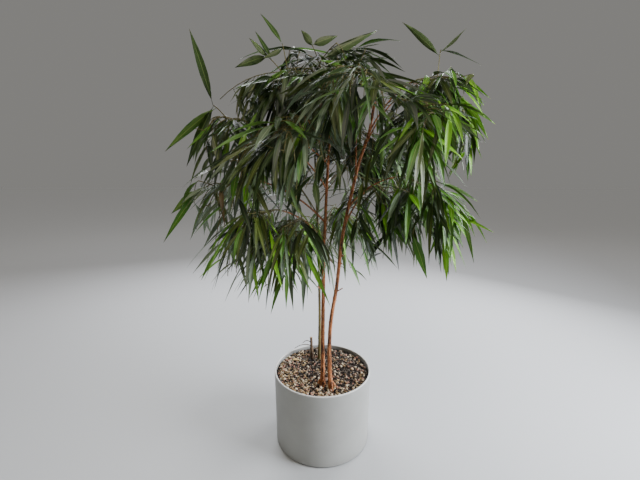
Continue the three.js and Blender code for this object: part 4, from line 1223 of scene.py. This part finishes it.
# The blade's margins, the first and the fifth point of each section, are sharp edges above the stalk,
# so that the upper and the lower face shade apart.
def sharpenMargins(piece):
    edges = np.zeros(len(piece.data.edges) * 2, np.int32)
    piece.data.edges.foreach_get("vertices", edges)
    within = edges.reshape(-1, 2) % (leafRings * leafSides + 2)
    ring, side = within // leafSides, within % leafSides
    onRings = within.max(1) < leafRings * leafSides
    sharp = (side[:, 0] == side[:, 1]) & np.isin(side[:, 0], [0, 4]) & onRings & (ring.max(1) > 3)
    piece.data.edges.foreach_set("use_edge_sharp", sharp)


# Leaves as one piece, with the number of its material for each leaf.
def makeLeaves(name, leaves, materials, tones):
    quads, tris = tubeFaces(len(leaves), leafRings, leafSides)
    piece = makePiece(name, leafPoints(leaves), quads, tris, materials, forFaces(tones, quads, tris),
                      leafUv(len(leaves)))
    sharpenMargins(piece)
    return piece


# Fig leaf, leathery and waxed: a satin green blade with a pale midrib, faint side veins, a paler
# underside and a dry brown point.
def leafMaterial(name, deep, fresh, rib, underside, drySpot):
    material, tree, shader, place = startMaterial(name, {"Roughness": 0.3, "IOR": 1.5,
                                                         "Specular IOR Level": 0.4})
    leafMap = addNode(tree, "ShaderNodeUVMap", {"uv_map": "along"})
    parts = addNode(tree, "ShaderNodeSeparateXYZ", inputs={"Vector": leafMap.outputs["UV"]})
    cloud = addNode(tree, "ShaderNodeTexNoise", inputs={"Vector": place, "Scale": 9.0, "Detail": 3.0,
                                                        "Roughness": 0.6})
    blade = addNode(tree, "ShaderNodeValToRGB", {"stops": [(0.32, deep), (0.68, fresh)]},
                    {"Fac": cloud.outputs["Fac"]})
    below = addNode(tree, "ShaderNodeMath", {"operation": "GREATER_THAN"},
                    {0: parts.outputs["X"], 1: 0.5})
    faces = addNode(tree, "ShaderNodeMix", colourMix,
                    {0: below.outputs["Value"], 6: blade.outputs["Color"], 7: linear(underside)})
    wrap = addNode(tree, "ShaderNodeMath", {"operation": "MODULO"}, {0: parts.outputs["X"], 1: 0.5})
    fromRib = addNode(tree, "ShaderNodeMath", {"operation": "SUBTRACT"},
                      {0: wrap.outputs["Value"], 1: 0.25})
    ribAway = addNode(tree, "ShaderNodeMath", {"operation": "ABSOLUTE"}, {0: fromRib.outputs["Value"]})
    ribMask = addNode(tree, "ShaderNodeMapRange", smooth,
                      {"Value": ribAway.outputs["Value"], "From Min": 0.008, "From Max": 0.024,
                       "To Min": 0.8, "To Max": 0.0})  # the rib is 2 mm wide on a 36 mm blade
    ribbed = addNode(tree, "ShaderNodeMix", colourMix,
                     {0: ribMask.outputs["Result"], 6: faces.outputs[2], 7: linear(rib)})
    # Side veins stand about 5 mm apart, drawn wider than life so that they show.
    slant = addNode(tree, "ShaderNodeMath", {"operation": "MULTIPLY_ADD"},
                    {0: ribAway.outputs["Value"], 1: -90.0, 2: 0.0})
    veinRun = addNode(tree, "ShaderNodeMath", {"operation": "MULTIPLY_ADD"},
                      {0: parts.outputs["Y"], 1: 260.0, 2: slant.outputs["Value"]})
    veins = addNode(tree, "ShaderNodeMath", {"operation": "SINE"}, {0: veinRun.outputs["Value"]})
    tipMask = addNode(tree, "ShaderNodeMapRange", smooth,
                      {"Value": parts.outputs["Y"], "From Min": 0.94, "From Max": 1.0, "To Min": 0.0,
                       "To Max": 0.85})
    dried = addNode(tree, "ShaderNodeMix", colourMix,
                    {0: tipMask.outputs["Result"], 6: ribbed.outputs[2], 7: linear(drySpot)})
    tree.links.new(dried.outputs[2], shader.inputs["Base Color"])
    relief = addNode(tree, "ShaderNodeMath", {"operation": "MULTIPLY_ADD"},
                     {0: ribMask.outputs["Result"], 1: -1.2, 2: veins.outputs["Value"]})
    bump = addNode(tree, "ShaderNodeBump", inputs={"Height": relief.outputs["Value"], "Strength": 0.25,
                                                   "Distance": 0.0006})
    tree.links.new(bump.outputs["Normal"], shader.inputs["Normal"])
    gloss = addNode(tree, "ShaderNodeMapRange", inputs={"Value": cloud.outputs["Fac"], "To Min": 0.3,
                                                        "To Max": 0.46})
    tree.links.new(gloss.outputs["Result"], shader.inputs["Roughness"])
    return material


leafMaterials = [
    leafMaterial("waxedFigLeafDeep", "#111f06", "#1a2b09", "#4a5c26", "#2c3a1a", "#43340f"),
    leafMaterial("waxedFigLeafDark", "#1b2e08", "#283f0c", "#62753a", "#3a4a22", "#4f3d18"),
    leafMaterial("waxedFigLeafOlive", "#343f10", "#475518", "#838e48", "#4f5b2a", "#6f5220"),
    leafMaterial("waxedFigLeafGreen", "#2d560a", "#43720f", "#86a044", "#4c6b26", "#66521c"),
    leafMaterial("youngFigLeaf", "#4c8208", "#6fa414", "#a9c65c", "#6c9832", "#806a26"),
    leafMaterial("oldBronzeFigLeaf", "#3e3018", "#5c4a26", "#8a764a", "#5a4c2e", "#4a3216"),
    # A pale grey-green tone that paints the sheen of light on the waxed leaves.
    leafMaterial("paintedSheenFigLeaf", "#4a593b", "#63735a", "#97a688", "#66755a", "#6f5f3c"),
]
# Shares of the seven tones in each kind of mass, from deep to the pale painted sheen. The masses in
# shade take most dark tones as painted shade, the low leaves take the most painted sheen, and at the
# right edge, where most light comes from, young and bright greens paint the light on and through the
# leaves.
leafMixes = {"shade": [0.33, 0.34, 0.12, 0.12, 0.04, 0.01, 0.04],
             "light": [0.22, 0.32, 0.13, 0.21, 0.09, 0.0, 0.03],
             "edge": [0.14, 0.24, 0.12, 0.27, 0.19, 0.0, 0.04],
             "front": [0.24, 0.3, 0.13, 0.13, 0.04, 0.01, 0.15],
             "low": [0.04, 0.1, 0.15, 0.22, 0.1, 0.01, 0.38]}


# The mix that a mass takes its tones from.
def mixOf(name):
    if name == "right_outer":
        return leafMixes["edge"]
    if name.startswith("right"):
        return leafMixes["light"]
    if "low" in name:
        return leafMixes["low"]
    return leafMixes["front" if "front" in name else "shade"]


twigMaterial = barkMaterial("greenFigTwig", "#3c3418", "#565028", "#6a6836", "#8a8050")

# Three leaves in four take the tone that their twig draws, and the rest draw their own. Leaves whose
# tips hang furthest to the right, towards the light, are green or young but for one in five: painted
# light on and through them.
dealing = {"together": 0.75, "edgeFrom": 600, "edgeLeft": 0.2, "edgeYoung": 0.5, "green": 3, "young": 4}
# Each kind of twig, with its share of a shoot's thickness.
twigKinds = {"shoots": 1.0, "sprays": 0.9, "limbTwigs": 0.8, "sideTwigs": 0.7}
twigShape = {"rings": 9, "sides": 6, "spineRings": 20, "spineSides": 12, "spineTip": 3}
for mass in masses:
    name, leaves = mass["name"], mass["leaves"]
    draws = np.array([chance(leaf["twigKey"], 31) if chance(leaf["key"], 32) < dealing["together"]
                      else chance(leaf["key"], 33) for leaf in leaves])
    tones = np.array([leaf["tone"] for leaf in leaves])
    dealt = np.minimum(np.searchsorted(np.cumsum(mixOf(name)), draws), len(leafMaterials) - 1)
    greens = np.where(tones >= 0, tones, dealt)
    inPaintedLightAtEdge = (tones < 0) & (np.array([leaf["tip"][0] for leaf in leaves]) > dealing["edgeFrom"])
    paintedLightTones = np.where(draws > dealing["edgeYoung"], dealing["young"], dealing["green"])
    greens = np.where(inPaintedLightAtEdge & (draws > dealing["edgeLeft"]), paintedLightTones, greens)
    piece = makeLeaves("foliage_" + name, leaves, leafMaterials, greens)
    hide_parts("leaves_" + name)

    rings, sides = twigShape["spineRings"], twigShape["spineSides"]
    spineLine, length = evenly(mass["spine"], rings)
    radius = mix(mass["radius"], twigShape["spineTip"], np.linspace(0, 1, rings))[:, None]
    rows = [(spineLine, radius * barkRelief(length, rings, sides, 5, 1.0), np.array([0.3, 0.9, 0.1]))]
    for kind, thick in twigKinds.items():
        for twig in mass[kind]:
            line = evenly(twig["line"], twigShape["rings"])[0]
            radius = twigRadiusAt(np.linspace(0, 1, twigShape["rings"])) * thick
            aside = heading(twig["azimuth"] + math.pi / 2, 0.4)
            rows.append((line, np.repeat(radius[:, None], twigShape["sides"], 1), aside))
    twigs = joinTubes("twigs_" + name, rows, [twigMaterial])
    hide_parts("leaves_" + name)

# Two fallen leaves that dried and curled on the gravel: root, bend, tip and width.
fallenRows = [((-168, 92, 379), (-148, 97, 386), (-124, 92, 379), 17),
              ((-86, 60, 379), (-98, 50, 384), (-112, 38, 379), 12)]
fallen = [{"root": np.array(root, float), "middle": np.array(middle, float), "tip": np.array(tip, float),
           "turn": 0.2 + k, "roll": 0.25, "width": width, "slim": 1.0, "key": 3.7 + k}
          for k, (root, middle, tip, width) in enumerate(fallenRows)]
driedLeaf = leafMaterial("driedFallenLeaf", "#a5813f", "#cfae62", "#8a6a34", "#b4955a", "#6a4a20")
piece = makeLeaves("fallen_leaves", fallen, [driedLeaf], np.zeros(len(fallen), int))
print("foliage made")
